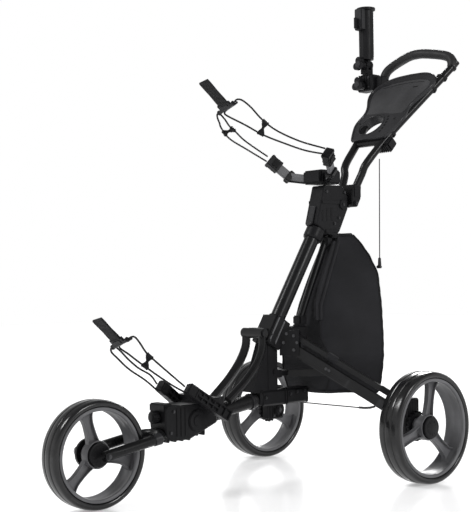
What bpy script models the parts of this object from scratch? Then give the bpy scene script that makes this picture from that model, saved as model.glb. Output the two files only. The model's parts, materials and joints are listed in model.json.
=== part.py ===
"""Three-wheeled golf push cart: folding frame, handle with console, bag cradles, straps and pouch.

Metres, +Z up, the cart rolls towards -Y and its left side is +X.
The origin is on the ground, midway between the ends and the sides of the cart.
"""
import math

import bmesh
import bpy
from mathutils import Matrix, Vector

# ---------------------------------------------------------------- driving dimensions
REAR_RADIUS = 0.135
REAR_WIDTH = 0.063
REAR_AXLE_Y = 0.231
TRACK = 0.591
FRONT_RADIUS = 0.120
FRONT_WIDTH = 0.058
FRONT_AXLE_Y = -0.5246
TYRE_HEIGHT = 0.016
AXLE_RADIUS = 0.006
GAP = 0.0003                      # clearance between touching pieces
DATUM = Vector((0, 0.02722, 0))   # where the point that all positions are measured from ends up

POST_POINT = Vector((0, 0.0494, 0.4445))
POST_DIRECTION = Vector((0, 0.527, 0.850)).normalized()
POST_RADIUS = 0.019
POST_LOW = -0.112                 # ends of the post, measured along it from POST_POINT
POST_HIGH = 0.300

LEG_TOP = (0.045, 0.038, 0.322)
LEG_END = (0.246, 0.182, 0.172)
LINK_RISE = 0.035                 # the upper link lies this far above the leg
SPREADER_RUN = 0.0801             # where the spreader is bolted to the leg, from its top pivot
SPREADER_DROP = 0.056
SLIDER_Y = 0.014
SLIDER_Z = 0.262

FRONT_HINGE = Vector((0, -0.199, 0.212))
HANDLE_HINGE = Vector((0, 0.272, 0.693))
HANDLE_ORIGIN = Vector((0, 0.298, 0.786))
HANDLE_ANGLE = math.radians(46.7)
HANDLE_TUBE = 0.0105
UMBRELLA_X = -0.165
UMBRELLA_Y = 0.538
TILT_Z = 1.118

HANDLE_UP = Vector((0, math.cos(HANDLE_ANGLE), math.sin(HANDLE_ANGLE)))
HANDLE_OUT = Vector((0, -math.sin(HANDLE_ANGLE), math.cos(HANDLE_ANGLE)))

# colour, roughness, metallic of each finish
RUBBER = ((0.012, 0.012, 0.013), 0.35, 0.0)
RIM_GREY = ((0.16, 0.16, 0.165), 0.42, 0.1)
PLASTIC = ((0.018, 0.018, 0.020), 0.50, 0.0)
LID_GREY = ((0.045, 0.045, 0.048), 0.45, 0.0)
PAINTED_TUBE = ((0.020, 0.020, 0.022), 0.30, 0.5)
STEEL = ((0.45, 0.45, 0.46), 0.30, 1.0)
FOAM = ((0.020, 0.020, 0.020), 0.80, 0.0)
FABRIC = ((0.025, 0.025, 0.028), 0.90, 0.0)
ELASTIC = ((0.015, 0.015, 0.016), 0.70, 0.0)

for old in list(bpy.data.objects):
    bpy.data.objects.remove(old, do_unlink=True)
PARTS = bpy.data.collections.new("golf_push_cart")
bpy.context.scene.collection.children.link(PARTS)


# ---------------------------------------------------------------- modelling helpers
def add_object(name, data):
    obj = bpy.data.objects.new(name, data)
    PARTS.objects.link(obj)
    return obj


def from_bmesh(name, bm):
    bmesh.ops.recalc_face_normals(bm, faces=bm.faces)
    mesh = bpy.data.meshes.new(name)
    bm.to_mesh(mesh)
    bm.free()
    return add_object(name, mesh)


def bake(obj):
    """Replace the object's data with its evaluated mesh, welded and facing out."""
    bpy.context.view_layer.update()
    evaluated = obj.evaluated_get(bpy.context.evaluated_depsgraph_get())
    mesh = bpy.data.meshes.new_from_object(evaluated)
    mesh.transform(obj.matrix_world)
    name = obj.name
    bpy.data.objects.remove(obj, do_unlink=True)
    bm = bmesh.new()
    bm.from_mesh(mesh)
    bmesh.ops.remove_doubles(bm, verts=bm.verts, dist=0.00001)
    bmesh.ops.recalc_face_normals(bm, faces=bm.faces)
    bm.to_mesh(mesh)
    bm.free()
    mesh.name = name
    return add_object(name, mesh)


def boolean(obj, others, operation):
    for other in others:
        modifier = obj.modifiers.new(operation, "BOOLEAN")
        modifier.operation = operation
        modifier.solver = "EXACT"
        modifier.object = other
    result = bake(obj)
    for other in others:
        bpy.data.objects.remove(other, do_unlink=True)
    return result


def join(obj, *others):
    return boolean(obj, others, "UNION")


def cut(obj, *cutters):
    return boolean(obj, cutters, "DIFFERENCE")


def soften(obj, width, segments=1):
    modifier = obj.modifiers.new("edges", "BEVEL")
    modifier.width = width
    modifier.segments = segments
    modifier.limit_method = "ANGLE"
    modifier.angle_limit = math.radians(40)
    return bake(obj)


def frame_of(origin, x_axis, z_axis):
    """Matrix with the given origin, local X along x_axis and local Z near z_axis."""
    x = Vector(x_axis).normalized()
    y = Vector(z_axis).cross(x).normalized()
    z = x.cross(y)
    matrix = Matrix((x, y, z)).transposed().to_4x4()
    matrix.translation = Vector(origin)
    return matrix


def block(name, low, high, chamfer=0.0, frame=None):
    """A box between two corners, in the given frame."""
    low = Vector(low)
    high = Vector(high)
    bm = bmesh.new()
    bmesh.ops.create_cube(bm, size=1.0)
    size = high - low
    bmesh.ops.scale(bm, verts=bm.verts, vec=size)
    bmesh.ops.translate(bm, verts=bm.verts, vec=(low + high) / 2)
    if chamfer:
        bmesh.ops.bevel(bm, geom=bm.edges, offset=chamfer, segments=1, affect="EDGES")
    if frame:
        bmesh.ops.transform(bm, matrix=frame, verts=bm.verts)
    return from_bmesh(name, bm)


def rod(name, start, end, radius, end_radius=None, sides=20):
    start = Vector(start)
    end = Vector(end)
    bm = bmesh.new()
    if end_radius is None:
        end_radius = radius
    bmesh.ops.create_cone(bm, cap_ends=True, segments=sides, radius1=radius, radius2=end_radius,
                          depth=(end - start).length)
    turn = (end - start).to_track_quat("Z", "Y").to_matrix().to_4x4()
    bmesh.ops.transform(bm, matrix=Matrix.Translation((start + end) / 2) @ turn, verts=bm.verts)
    return from_bmesh(name, bm)


def turned(name, profile, frame, steps=36):
    """Turn a closed profile of (radius, height) points about the frame's Z axis."""
    mesh = bpy.data.meshes.new(name)
    count = len(profile)
    edges = [(i, (i + 1) % count) for i in range(count)]
    mesh.from_pydata([(radius, 0, height) for radius, height in profile], edges, [])
    obj = add_object(name, mesh)
    obj.matrix_world = frame
    screw = obj.modifiers.new("turn", "SCREW")
    screw.steps = steps
    screw.render_steps = steps
    screw.use_merge_vertices = True
    screw.merge_threshold = 0.00001
    return bake(obj)


def flat(name, outline, thickness, frame, lift=0.0):
    """An outline of (x, y) points, extruded evenly about the frame's XY plane."""
    curve = bpy.data.curves.new(name, "CURVE")
    curve.dimensions = "2D"
    curve.fill_mode = "BOTH"
    curve.extrude = thickness / 2
    spline = curve.splines.new("POLY")
    spline.points.add(len(outline) - 1)
    for point, (x, y) in zip(spline.points, outline):
        point.co = (x, y, 0, 1)
    spline.use_cyclic_u = True
    obj = add_object(name, curve)
    obj.matrix_world = frame @ Matrix.Translation((0, 0, lift))
    return bake(obj)


def side_plate(name, outline, half_width):
    """An outline of (y, z) points, extruded from -half_width to half_width in X."""
    return flat(name, outline, 2 * half_width, frame_of((0, 0, 0), (0, 1, 0), (1, 0, 0)))


def arc(centre, radius, start, end, steps):
    """Points of an arc, angles in degrees."""
    angles = [math.radians(start + (end - start) * i / steps) for i in range(steps + 1)]
    return [(centre[0] + radius * math.cos(a), centre[1] + radius * math.sin(a)) for a in angles]


def tube(name, route, radius, level=2):
    """A round tube along the points, with closed ends."""
    curve = bpy.data.curves.new(name, "CURVE")
    curve.dimensions = "3D"
    curve.bevel_depth = radius
    curve.bevel_resolution = level
    curve.use_fill_caps = True
    spline = curve.splines.new("POLY")
    spline.points.add(len(route) - 1)
    for point, position in zip(spline.points, route):
        point.co = (*position, 1)
    return bake(add_object(name, curve))


def smooth_route(points, steps):
    """Points on a smooth curve through the given ones (Catmull-Rom), steps to each span."""
    points = [Vector(p) for p in points]
    ends = [points[0] * 2 - points[1]] + points + [points[-1] * 2 - points[-2]]
    route = []
    for a, b, c, d in zip(ends, ends[1:], ends[2:], ends[3:]):
        for i in range(steps):
            t = i / steps
            route.append(0.5 * (2 * b + (c - a) * t + (2 * a - 5 * b + 4 * c - d) * t ** 2
                                + (3 * b - a - 3 * c + d) * t ** 3))
    return route + [points[-1]]


def link_bar(name, start, end, radius, thickness, normal, hole=0.0, chamfer=0.0):
    """A flat bar with round ends about two pivots, and a hole at each."""
    start = Vector(start)
    end = Vector(end)
    length = (end - start).length
    frame = frame_of(start, end - start, normal)
    outline = arc((length, 0), radius, -90, 90, 8) + arc((0, 0), radius, 90, 270, 8)
    bar = flat(name, outline, thickness, frame)
    if chamfer:
        bar = soften(bar, chamfer)
    if hole:
        reach = Vector(normal).normalized() * thickness
        holes = [rod("hole", p - reach, p + reach, hole, sides=16) for p in (start, end)]
        bar = cut(bar, *holes)
    return bar


def finish(obj, name, look, pivot=None, smooth=True):
    """Name the sub-part, give it its material and put its origin on its pivot."""
    colour, roughness, metallic = look
    obj.name = name
    obj.data.name = name
    material = bpy.data.materials.new(name)
    material.use_nodes = True
    shader = material.node_tree.nodes["Principled BSDF"]
    shader.inputs["Base Color"].default_value = (*colour, 1)
    shader.inputs["Roughness"].default_value = roughness
    shader.inputs["Metallic"].default_value = metallic
    obj.data.materials.clear()
    obj.data.materials.append(material)
    if smooth:
        obj.data.shade_smooth()
        obj.data.set_sharp_from_angle(angle=math.radians(35))
    obj.data.transform(Matrix.Translation(DATUM))
    if pivot is not None:
        pivot = Vector(pivot) + DATUM
        obj.data.transform(Matrix.Translation(-pivot))
        obj.location = pivot
    return obj


def on_side(side, point):
    """The point mirrored to the right side when side is -1."""
    return Vector((side * point[0], point[1], point[2]))


def post_point(distance):
    return POST_POINT + POST_DIRECTION * distance


def handle_point(x, along, out=0.0):
    """A point of the handle: x across, along its plane, and out of the plane."""
    return HANDLE_ORIGIN + Vector((x, 0, 0)) + HANDLE_UP * along + HANDLE_OUT * out


def handle_frame(along=0.0, out=0.0):
    """Local X across the cart, local Y up the handle, local Z out of its plane."""
    return frame_of(handle_point(0, along, out), (1, 0, 0), HANDLE_OUT)


# ---------------------------------------------------------------- wheels
def wheel(name, centre, radius, width, outer, phase):
    """Tyre, rim and cap of one wheel; outer is the X direction of its outside, phase turns the spokes."""
    rim_radius = radius - TYRE_HEIGHT
    half = width / 2
    frame = frame_of(centre, (0, 1, 0), (outer, 0, 0))
    groove = 0.003
    tread = radius - 0.0015
    tyre_profile = [
        (rim_radius, half - 0.004), (radius - 0.006, half), (tread, half - 0.008),
        (radius, 0.011), (radius - groove, 0.0095), (radius, 0.008),
        (radius, -0.008), (radius - groove, -0.0095), (radius, -0.011),
        (tread, 0.008 - half), (radius - 0.006, -half), (rim_radius, 0.004 - half),
    ]
    tyre = turned("tyre", tyre_profile, frame)
    finish(tyre, name + "_tyre", RUBBER, centre)

    barrel_outer = rim_radius - GAP
    barrel_inner = barrel_outer - 0.0055
    rim_half = half - 0.003
    barrel_profile = [
        (barrel_outer, rim_half), (barrel_outer, -rim_half), (barrel_inner - 0.002, -rim_half),
        (barrel_inner, 0.004 - rim_half), (barrel_inner, rim_half - 0.004),
        (barrel_inner - 0.002, rim_half),
    ]
    barrel = turned("barrel", barrel_profile, frame)
    hub = rod("hub", centre - Vector((outer * 0.022, 0, 0)), centre + Vector((outer * 0.014, 0, 0)), 0.023)
    outline = [(0.010, -0.014), (0.026, -0.013), (0.060, -0.0085), (barrel_inner - 0.012, -0.011),
               (barrel_inner + 0.002, -0.018), (barrel_inner + 0.002, 0.018),
               (barrel_inner - 0.012, 0.011), (0.060, 0.0085), (0.026, 0.013), (0.010, 0.014)]
    spokes = []
    for i in range(3):
        turn = Matrix.Rotation(math.radians(phase + 120 * i), 4, "Z")
        spokes.append(flat("spoke", outline, 0.012, frame @ turn, 0.003))
    bore = rod("bore", centre - Vector((0.05, 0, 0)), centre + Vector((0.05, 0, 0)), AXLE_RADIUS + GAP)
    rim = cut(join(barrel, hub, *spokes), bore)
    finish(rim, name + "_rim", RIM_GREY, centre)

    cap_start = centre + Vector((outer * (0.014 + GAP), 0, 0))
    cap_end = cap_start + Vector((outer * 0.008, 0, 0))
    finish(rod("cap", cap_start, cap_end, 0.0275, 0.023, 24), name + "_hub_cap", PLASTIC, centre)


def wheels():
    for side, name, phase in ((1, "left", 78), (-1, "right", 25)):
        centre = Vector((side * TRACK / 2, REAR_AXLE_Y, REAR_RADIUS))
        wheel(name, centre, REAR_RADIUS, REAR_WIDTH, side, phase)
        axle = rod("axle", centre - Vector((side * 0.052, 0, 0)), centre + Vector((side * 0.0125, 0, 0)),
                   AXLE_RADIUS)
        finish(axle, name + "_axle", STEEL, centre)
    centre = Vector((0, FRONT_AXLE_Y, FRONT_RADIUS))
    wheel("front", centre, FRONT_RADIUS, FRONT_WIDTH, 1, 105)
    reach = Vector((0.058, 0, 0))
    shaft = rod("axle", centre - reach * 1.08, centre + Vector((0.013, 0, 0)), AXLE_RADIUS)
    knob = rod("knob", centre - reach - Vector((0.010, 0, 0)), centre - reach, 0.011)
    finish(join(shaft, knob), "front_axle", STEEL, centre)


# ---------------------------------------------------------------- front arm
def fork():
    half = 0.044
    crown_y = -0.356
    slope = 0.162
    points = []
    for y in (FRONT_AXLE_Y - 0.004, -0.46):
        points.append((half, y))
    points += [(x, y) for x, y in arc((0, crown_y - half), half, 0, 180, 10)]
    points += [(-half, -0.46), (-half, FRONT_AXLE_Y - 0.004)]
    return [(x, y, FRONT_RADIUS + (y - FRONT_AXLE_Y) * slope) for x, y in points]


def front_arm():
    fork_tube = tube("fork", fork(), 0.012, 4)
    centre = Vector((0, FRONT_AXLE_Y, FRONT_RADIUS))
    eye = rod("eye", centre - Vector((0.0585, 0, 0)), centre + Vector((0.0585, 0, 0)), AXLE_RADIUS + GAP)
    finish(cut(fork_tube, eye), "front_fork", PAINTED_TUBE, FRONT_HINGE)

    outline = [(-0.2125, 0.212), (-0.300, 0.211), (-0.335, 0.214), (-0.352, 0.207), (-0.3535, 0.170),
               (-0.350, 0.142), (-0.335, 0.131), (-0.283, 0.130), (-0.240, 0.147), (-0.200, 0.163),
               (-0.200, 0.197), (-0.2125, 0.200)]
    body = soften(side_plate("body", outline, 0.031), 0.003)
    neck = block("neck", (-0.017, -0.222, 0.203), (0.017, -0.199, 0.2215))
    barrel = rod("barrel", FRONT_HINGE - Vector((0.017, 0, 0)), FRONT_HINGE + Vector((0.017, 0, 0)), 0.0095)
    clearance = tube("clearance", fork(), 0.012 + GAP, 4)
    finish(cut(join(body, neck, barrel), clearance), "crown_block", PLASTIC, FRONT_HINGE)

    knob_centre = Vector((0, -0.354, 0.186))
    knob = rod("knob", knob_centre - Vector((0, GAP, 0)), knob_centre - Vector((0, 0.017, 0)), 0.014, 0.0125)
    finish(knob, "tracking_knob", PLASTIC, knob_centre)

    base = block("base", (-0.074, -0.250, 0.2145), (0.074, -0.222, 0.226), 0.002)
    arms = []
    for side in (1, -1):
        start = on_side(side, (0.075, -0.208, 0.1745))
        end = on_side(side, (0.0525, -0.3086, 0.2443))
        reach = (end - start).length
        frame = frame_of(start, end - start, (0, 0.57, 0.82))
        arms.append(block("arm", (0, -0.011, -0.006), (reach, 0.011, 0.020), 0.002, frame))
    finish(join(base, *arms), "lower_bag_bracket", PLASTIC, FRONT_HINGE)


# ---------------------------------------------------------------- centre frame
def centre_frame():
    low = post_point(POST_LOW)
    high = post_point(POST_HIGH)
    length = POST_HIGH - POST_LOW
    wall = 0.0025
    inside = POST_RADIUS - wall
    profile = [(POST_RADIUS, length), (POST_RADIUS, 0), (inside, 0), (inside, length)]
    post = turned("post", profile, frame_of(low, (1, 0, 0), POST_DIRECTION), 32)
    finish(post, "main_post", PAINTED_TUBE)

    start = Vector((0, -0.0575, 0.2005))
    end = Vector((0, -0.190, 0.1815))
    front_tube = rod("tube", start, end, 0.0175, sides=28)
    collar = rod("collar", end + (start - end) * 0.12, end + Vector((0, 0, 0.0002)), 0.021, sides=28)
    ears = []
    for side in (1, -1):
        inner = FRONT_HINGE + Vector((side * 0.0175, 0, 0))
        outer = FRONT_HINGE + Vector((side * 0.0245, 0, 0))
        ears.append(rod("ear", inner, outer, 0.0095))
        ears.append(block("ear_foot", (min(inner.x, outer.x), -0.199, 0.188),
                          (max(inner.x, outer.x), -0.176, 0.2215)))
        ears.append(block("ear_web", (min(side * 0.010, outer.x), -0.1895, 0.185),
                          (max(side * 0.010, outer.x), -0.176, 0.198)))
    finish(join(front_tube, collar, *ears), "front_tube", PAINTED_TUBE)

    rails = []
    for side in (1, -1):
        points = [(0.029, -0.056, 0.362), (0.031, -0.058, 0.330), (0.033, -0.078, 0.292),
                  (0.032, -0.115, 0.252), (0.0295, -0.166, 0.211)]
        rails.append(tube("rail", smooth_route([on_side(side, p) for p in points], 4), 0.010, 4))
    bar = block("bar", (-0.040, -0.072, 0.351), (0.040, -0.0405, 0.379), 0.004)
    finish(join(bar, *rails), "guard_rails", PAINTED_TUBE)

    finish(rod("strut", (0, 0.198, 0.603), (0, 0.0945, 0.3856), 0.009), "rear_strut", PAINTED_TUBE)


def leg_normal(side):
    run = Vector(LEG_END) - Vector(LEG_TOP)
    return on_side(side, Vector((-run.y, run.x, 0)).normalized())


def leg_frame(side, origin):
    """Local X outwards along the leg's run, local Y along its pivots, local Z up."""
    normal = leg_normal(side)
    return frame_of(origin, Vector((0, 0, 1)).cross(normal) * -side, (0, 0, 1))


def post_hub():
    collar_frame = frame_of(post_point(-0.131), POST_DIRECTION, (0, -0.85, 0.527))
    collar = block("collar", (0, -0.027, -0.026), (0.076, 0.027, 0.026), 0.004, collar_frame)
    spine = side_plate("spine", [(-0.034, 0.345), (0.004, 0.345), (-0.012, 0.300), (-0.016, 0.215),
                                 (-0.080, 0.222), (-0.062, 0.270)], 0.018)
    lug = block("lug", (-0.017, -0.0402, 0.354), (0.017, 0.000, 0.376))
    rear = block("rear", (-0.021, 0.000, 0.335), (0.021, 0.105, 0.378), 0.003)
    guide = rod("guide", (0, SLIDER_Y, 0.215), (0, SLIDER_Y, 0.340), 0.004, sides=16)
    base = block("base", (-0.022, -0.055, 0.186), (0.022, 0.106, 0.224), 0.005)
    seat = block("seat", (-0.012, 0.086, 0.370), (0.012, 0.104, 0.381))
    pieces = [spine, lug, rear, guide, base, seat]
    for side in (1, -1):
        top = on_side(side, LEG_TOP)
        frame = leg_frame(side, top)
        for across in (0.0086, -0.0126):
            inner = -0.030 if side * across > 0 else -0.036
            pieces.append(block("cheek", (inner, across, -0.014), (0.013, across + 0.004, 0.048), 0.0, frame))
        for height in (0.0, LINK_RISE):
            centre = top + Vector((0, 0, height))
            reach = leg_normal(side) * 0.0126
            pieces.append(rod("pin", centre - reach, centre + reach, 0.0035, sides=16))
    hub = join(collar, *pieces)
    bore = rod("bore", post_point(POST_LOW - GAP), post_point(0.02), POST_RADIUS + GAP, sides=32)
    finish(cut(hub, bore), "post_hub", PLASTIC)


def upper_housing():
    outline = [(0.142, 0.638), (0.170, 0.738), (0.236, 0.741), (0.2575, 0.712),
               (0.2575, 0.680), (0.226, 0.620), (0.212, 0.606), (0.178, 0.612)]
    body = soften(side_plate("body", outline, 0.0235), 0.003)
    half_pin = Vector((0.012, 0, 0))
    hinge = rod("hinge", HANDLE_HINGE - half_pin, HANDLE_HINGE + half_pin, 0.0095)
    web = block("web", (-0.012, 0.250, 0.6838), (0.012, 0.272, 0.7022))
    bore = rod("bore", post_point(0.10), post_point(POST_HIGH + GAP), POST_RADIUS + GAP, sides=32)
    finish(cut(join(body, hinge, web), bore), "upper_housing", PLASTIC)

    lever_frame = frame_of((0, 0.142, 0.638), (0, 0.270, 0.963), (0, -0.963, 0.270))
    lever = block("lever", (0, -0.009, GAP), (0.048, 0.009, 0.0055), 0.001, lever_frame)
    lip = block("lip", (-0.004, -0.009, 0.0045), (0.006, 0.009, 0.0095), 0.001, lever_frame)
    finish(join(lever, lip), "handle_latch", PLASTIC, lever_frame @ Vector((0.048, 0, 0.003)))

    base = block("base", (-0.034, 0.150, 0.7415 + GAP), (0.034, 0.222, 0.778), 0.003)
    arms = []
    for side in (1, -1):
        root = on_side(side, (0.022, 0.176, 0.756))
        elbow = on_side(side, (0.080, 0.138, 0.766))
        tip = on_side(side, (0.109, 0.096, 0.809))
        frame = frame_of(root, elbow - root, (0, 0, 1))
        reach = (elbow - root).length + 0.006
        arms.append(block("arm", (0, -0.006, -0.013), (reach, 0.006, 0.013), 0.0015, frame))
        frame = frame_of(elbow, tip - elbow, (0, 0.6, 0.8))
        reach = (tip - elbow).length
        arms.append(block("pad", (-0.010, -0.011, -0.014), (reach, 0.011, 0.020), 0.002, frame))
    finish(join(base, *arms), "upper_bag_bracket", PLASTIC)


# ---------------------------------------------------------------- rear legs
def rear_legs():
    for side, name in ((1, "left"), (-1, "right")):
        top = on_side(side, LEG_TOP)
        end = on_side(side, LEG_END)
        rise = Vector((0, 0, LINK_RISE))
        normal = leg_normal(side)
        hole = 0.0035 + GAP
        leg = link_bar("leg", top, end, 0.013, 0.0165, normal, hole, 0.003)
        groove_frame = frame_of(top, end - top, (0, 0, 1))
        groove_end = (end - top).length + 0.03
        groove = block("groove", (-0.03, -0.0066, 0.0088), (groove_end, 0.0066, 0.03), 0.0, groove_frame)
        run = Vector((end.x - top.x, end.y - top.y, 0)).normalized()
        rivet = top + run * SPREADER_RUN - Vector((0, 0, SPREADER_DROP))
        leg_hole = rod("hole", rivet - normal * 0.02, rivet + normal * 0.02, 0.003 + GAP, sides=12)
        finish(cut(leg, leg_hole, groove), name + "_leg", PAINTED_TUBE, top)
        link = link_bar("link", top + rise, end + rise, 0.0065, 0.012, normal, hole, 0.002)
        finish(link, name + "_link", PAINTED_TUBE, top + rise)

        outer = rivet + normal * 0.016
        inner = outer - run * 0.0931
        inner.z = SLIDER_Z
        length = (inner - outer).length
        outline = arc((0, 0), 0.009, 90, 270, 8) + arc((length, 0), 0.009, -90, 90, 8)
        bar = flat("bar", outline, 0.005, frame_of(outer, inner - outer, normal))
        pin = rod("pin", rivet - normal * 0.0135, outer, 0.003, sides=12)
        head = rod("head", rivet - normal * 0.0115, rivet - normal * 0.0085, 0.006, sides=12)
        finish(join(bar, pin, head), name + "_spreader", PAINTED_TUBE, outer)

        frame = leg_frame(side, end)
        near, far = sorted((side * 0.0086, side * 0.024))
        plate = block("plate", (-0.012, near, -0.014), (0.014, far, 0.048), 0.002, frame)
        pieces = []
        for height in (0.0, LINK_RISE):
            centre = end + Vector((0, 0, height))
            pieces.append(rod("pin", centre - normal * 0.0115, centre + normal * 0.012, 0.0035, sides=16))
            pieces.append(rod("head", centre - normal * 0.0125, centre - normal * 0.0088, 0.0065, sides=16))
        x_pair = sorted((side * 0.230, side * 0.262))
        body = block("body", (x_pair[0], 0.203, 0.110), (x_pair[1], 0.252, 0.202), 0.004)
        bracket = join(body, plate, *pieces)
        axle_centre = Vector((side * TRACK / 2, REAR_AXLE_Y, REAR_RADIUS))
        bore_start = axle_centre - Vector((side * (0.052 + GAP), 0, 0))
        bore = rod("bore", bore_start, axle_centre, AXLE_RADIUS + GAP)
        finish(cut(bracket, bore), name + "_axle_bracket", PLASTIC, end)

    body = block("body", (-0.013, SLIDER_Y - 0.011, SLIDER_Z - 0.010),
                 (0.013, SLIDER_Y + 0.011, SLIDER_Z + 0.010), 0.002)
    tail = block("tail", (-0.009, SLIDER_Y, SLIDER_Z - 0.007), (0.009, 0.050, SLIDER_Z + 0.007), 0.001)
    bore = rod("bore", (0, SLIDER_Y, 0.2), (0, SLIDER_Y, 0.35), 0.004 + GAP, sides=16)
    finish(cut(join(body, tail), bore), "spreader_slider", PLASTIC, (0, SLIDER_Y, SLIDER_Z))

    pedal_pivot = Vector((0.246, 0.2525, 0.128))
    pad = block("pad", (0.234, 0.2545, 0.120), (0.258, 0.288, 0.127), 0.0015)
    hinge = rod("hinge", (0.234, 0.2575, 0.1265), (0.258, 0.2575, 0.1265), 0.005, sides=16)
    finish(join(pad, hinge), "brake_pedal", PLASTIC, pedal_pivot)
    arm = block("arm", (-0.258, 0.1955, 0.112), (-0.234, 0.2025, 0.150), 0.0015)
    finish(arm, "brake_arm", PLASTIC, (-0.246, 0.199, 0.1495))

    half = [(0.205, 0.150, 0.184), (0.180, 0.142, 0.1795), (0.130, 0.132, 0.180), (0.060, 0.122, 0.1805),
            (0.0, 0.118, 0.1805)]
    points = half + [(-x, y, z) for x, y, z in reversed(half[:-1])]
    finish(tube("cable", smooth_route(points, 4), 0.0015), "brake_cable", ELASTIC)


# ---------------------------------------------------------------- handle
# right half of the handle tube: across, along and out of the handle's plane
HANDLE_FOOT = [(0.024, 0.2795, 0.7265), (0.031, 0.302, 0.772)]
HANDLE_LEG = [(0.040, 0.026, 0.0), (0.0575, 0.143, 0.0)]
HANDLE_BOW = [(0.1245, 0.394, 0.0), (0.1235, 0.404, 0.006), (0.1175, 0.4145, 0.0115), (0.107, 0.4225, 0.0155),
              (0.0925, 0.4275, 0.0195), (0.074, 0.4295, 0.0248), (0.050, 0.430, 0.0315),
              (0.025, 0.4302, 0.0375), (0.0, 0.4303, 0.0395)]


def mirrored_route(half):
    """The route through the right half, over its last point and back down the left."""
    half = [Vector(p) for p in half]
    return half + [on_side(-1, p) for p in reversed(half[:-1])]


def handle_route():
    return mirrored_route(HANDLE_FOOT + [handle_point(*p) for p in HANDLE_LEG + HANDLE_BOW])


def handle():
    path = handle_route()
    cross = rod("cross", handle_point(-0.051, 0.103), handle_point(0.051, 0.103), 0.008)
    finish(join(tube("frame", path, HANDLE_TUBE, 4), cross), "handle_frame", PAINTED_TUBE, HANDLE_HINGE)

    grip = tube("grip", mirrored_route([handle_point(*p) for p in HANDLE_BOW]), 0.0132, 4)
    core = tube("core", path, HANDLE_TUBE + GAP, 4)
    finish(cut(grip, core), "handle_grip", FOAM, HANDLE_HINGE)

    body = side_plate("hinge", [(0.2595, 0.706), (0.262, 0.731), (0.270, 0.745), (0.297, 0.741),
                                (0.294, 0.706), (0.284, 0.690), (0.272, 0.683), (0.2625, 0.690)], 0.036)
    body = soften(body, 0.003)
    gap_block = block("gap", (-0.0125, 0.2585, 0.680), (0.0125, 0.300, 0.7035))
    sockets = []
    for side in (1, -1):
        start, end = (on_side(side, p) for p in HANDLE_FOOT)
        run = (end - start).normalized()
        sockets.append(rod("socket", start - run * GAP, start + run * 0.06, HANDLE_TUBE + 2 * GAP))
    finish(cut(body, gap_block, *sockets), "handle_hinge", PLASTIC, HANDLE_HINGE)


# console outlines as (across, along) in the handle's plane
CONSOLE_HALF = [(0.062, 0.108), (0.076, 0.138), (0.087, 0.168), (0.087, 0.190), (0.0825, 0.210),
                (0.084, 0.232), (0.094, 0.256), (0.107, 0.279), (0.116, 0.306), (0.110, 0.332),
                (0.092, 0.351), (0.056, 0.3655), (0.0, 0.372)]
LID_OUTLINE = [(-0.074, 0.2165), (-0.048, 0.2135), (-0.022, 0.2125), (0.005, 0.2095), (0.030, 0.2035),
               (0.066, 0.2005), (0.0755, 0.215), (0.0765, 0.235), (0.087, 0.262), (0.099, 0.288),
               (0.1035, 0.308), (0.098, 0.322), (0.084, 0.333), (0.050, 0.3425), (0.0, 0.3455),
               (-0.050, 0.3425), (-0.084, 0.333), (-0.098, 0.322), (-0.1035, 0.308), (-0.099, 0.288),
               (-0.087, 0.262), (-0.0765, 0.235)]
CUP_ACROSS = -0.022
CUP_ALONG = 0.1645
CUP_RADIUS = 0.0385
PLATE_LOW = HANDLE_TUBE + GAP
PLATE_HIGH = PLATE_LOW + 0.005
LID_THICKNESS = 0.003
LID_HINGE_ALONG = 0.3457


def grown(outline, by):
    """A counter-clockwise outline moved outwards."""
    points = [Vector(p) for p in outline]
    result = []
    for before, here, after in zip(points[-1:] + points, points, points[1:] + points[:1]):
        first = (here - before).normalized()
        second = (after - here).normalized()
        normal = Vector((first.y + second.y, -first.x - second.x)).normalized()
        result.append(here + normal * by)
    return [(p.x, p.y) for p in result]


def console():
    frame = handle_frame()
    outline = CONSOLE_HALF + [(-x, y) for x, y in reversed(CONSOLE_HALF[:-1])]
    plate = flat("plate", outline, PLATE_HIGH - PLATE_LOW, frame, (PLATE_LOW + PLATE_HIGH) / 2)
    plate = soften(plate, 0.001)
    well = block("well", (-0.055, 0.222, -0.016), (0.055, 0.338, PLATE_LOW + 0.001), 0.004, frame)
    ring_ends = [handle_point(CUP_ACROSS, CUP_ALONG, out) for out in (PLATE_LOW - 0.018, PLATE_LOW + 0.001)]
    ring = rod("ring", *ring_ends, CUP_RADIUS + 0.0035, sides=32)
    body = join(plate, well, ring)
    cup_ends = [handle_point(CUP_ACROSS, CUP_ALONG, out) for out in (-0.03, 0.05)]
    cup = rod("cup", *cup_ends, CUP_RADIUS, sides=32)
    tray = block("tray", (-0.051, 0.226, -0.012), (0.051, 0.334, 0.05), 0.0, frame)
    recess_floor = PLATE_HIGH - LID_THICKNESS - GAP
    recess = flat("recess", grown(LID_OUTLINE, 0.0005), 0.02, frame, recess_floor + 0.01)
    clearance = tube("clearance", handle_route(), HANDLE_TUBE + GAP, 4)
    finish(cut(body, cup, tray, recess, clearance), "console", PLASTIC, HANDLE_HINGE)

    lid = flat("lid", LID_OUTLINE, LID_THICKNESS, frame, PLATE_HIGH - LID_THICKNESS / 2)
    finish(lid, "console_lid", LID_GREY, handle_point(0, LID_HINGE_ALONG, PLATE_HIGH))


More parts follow.
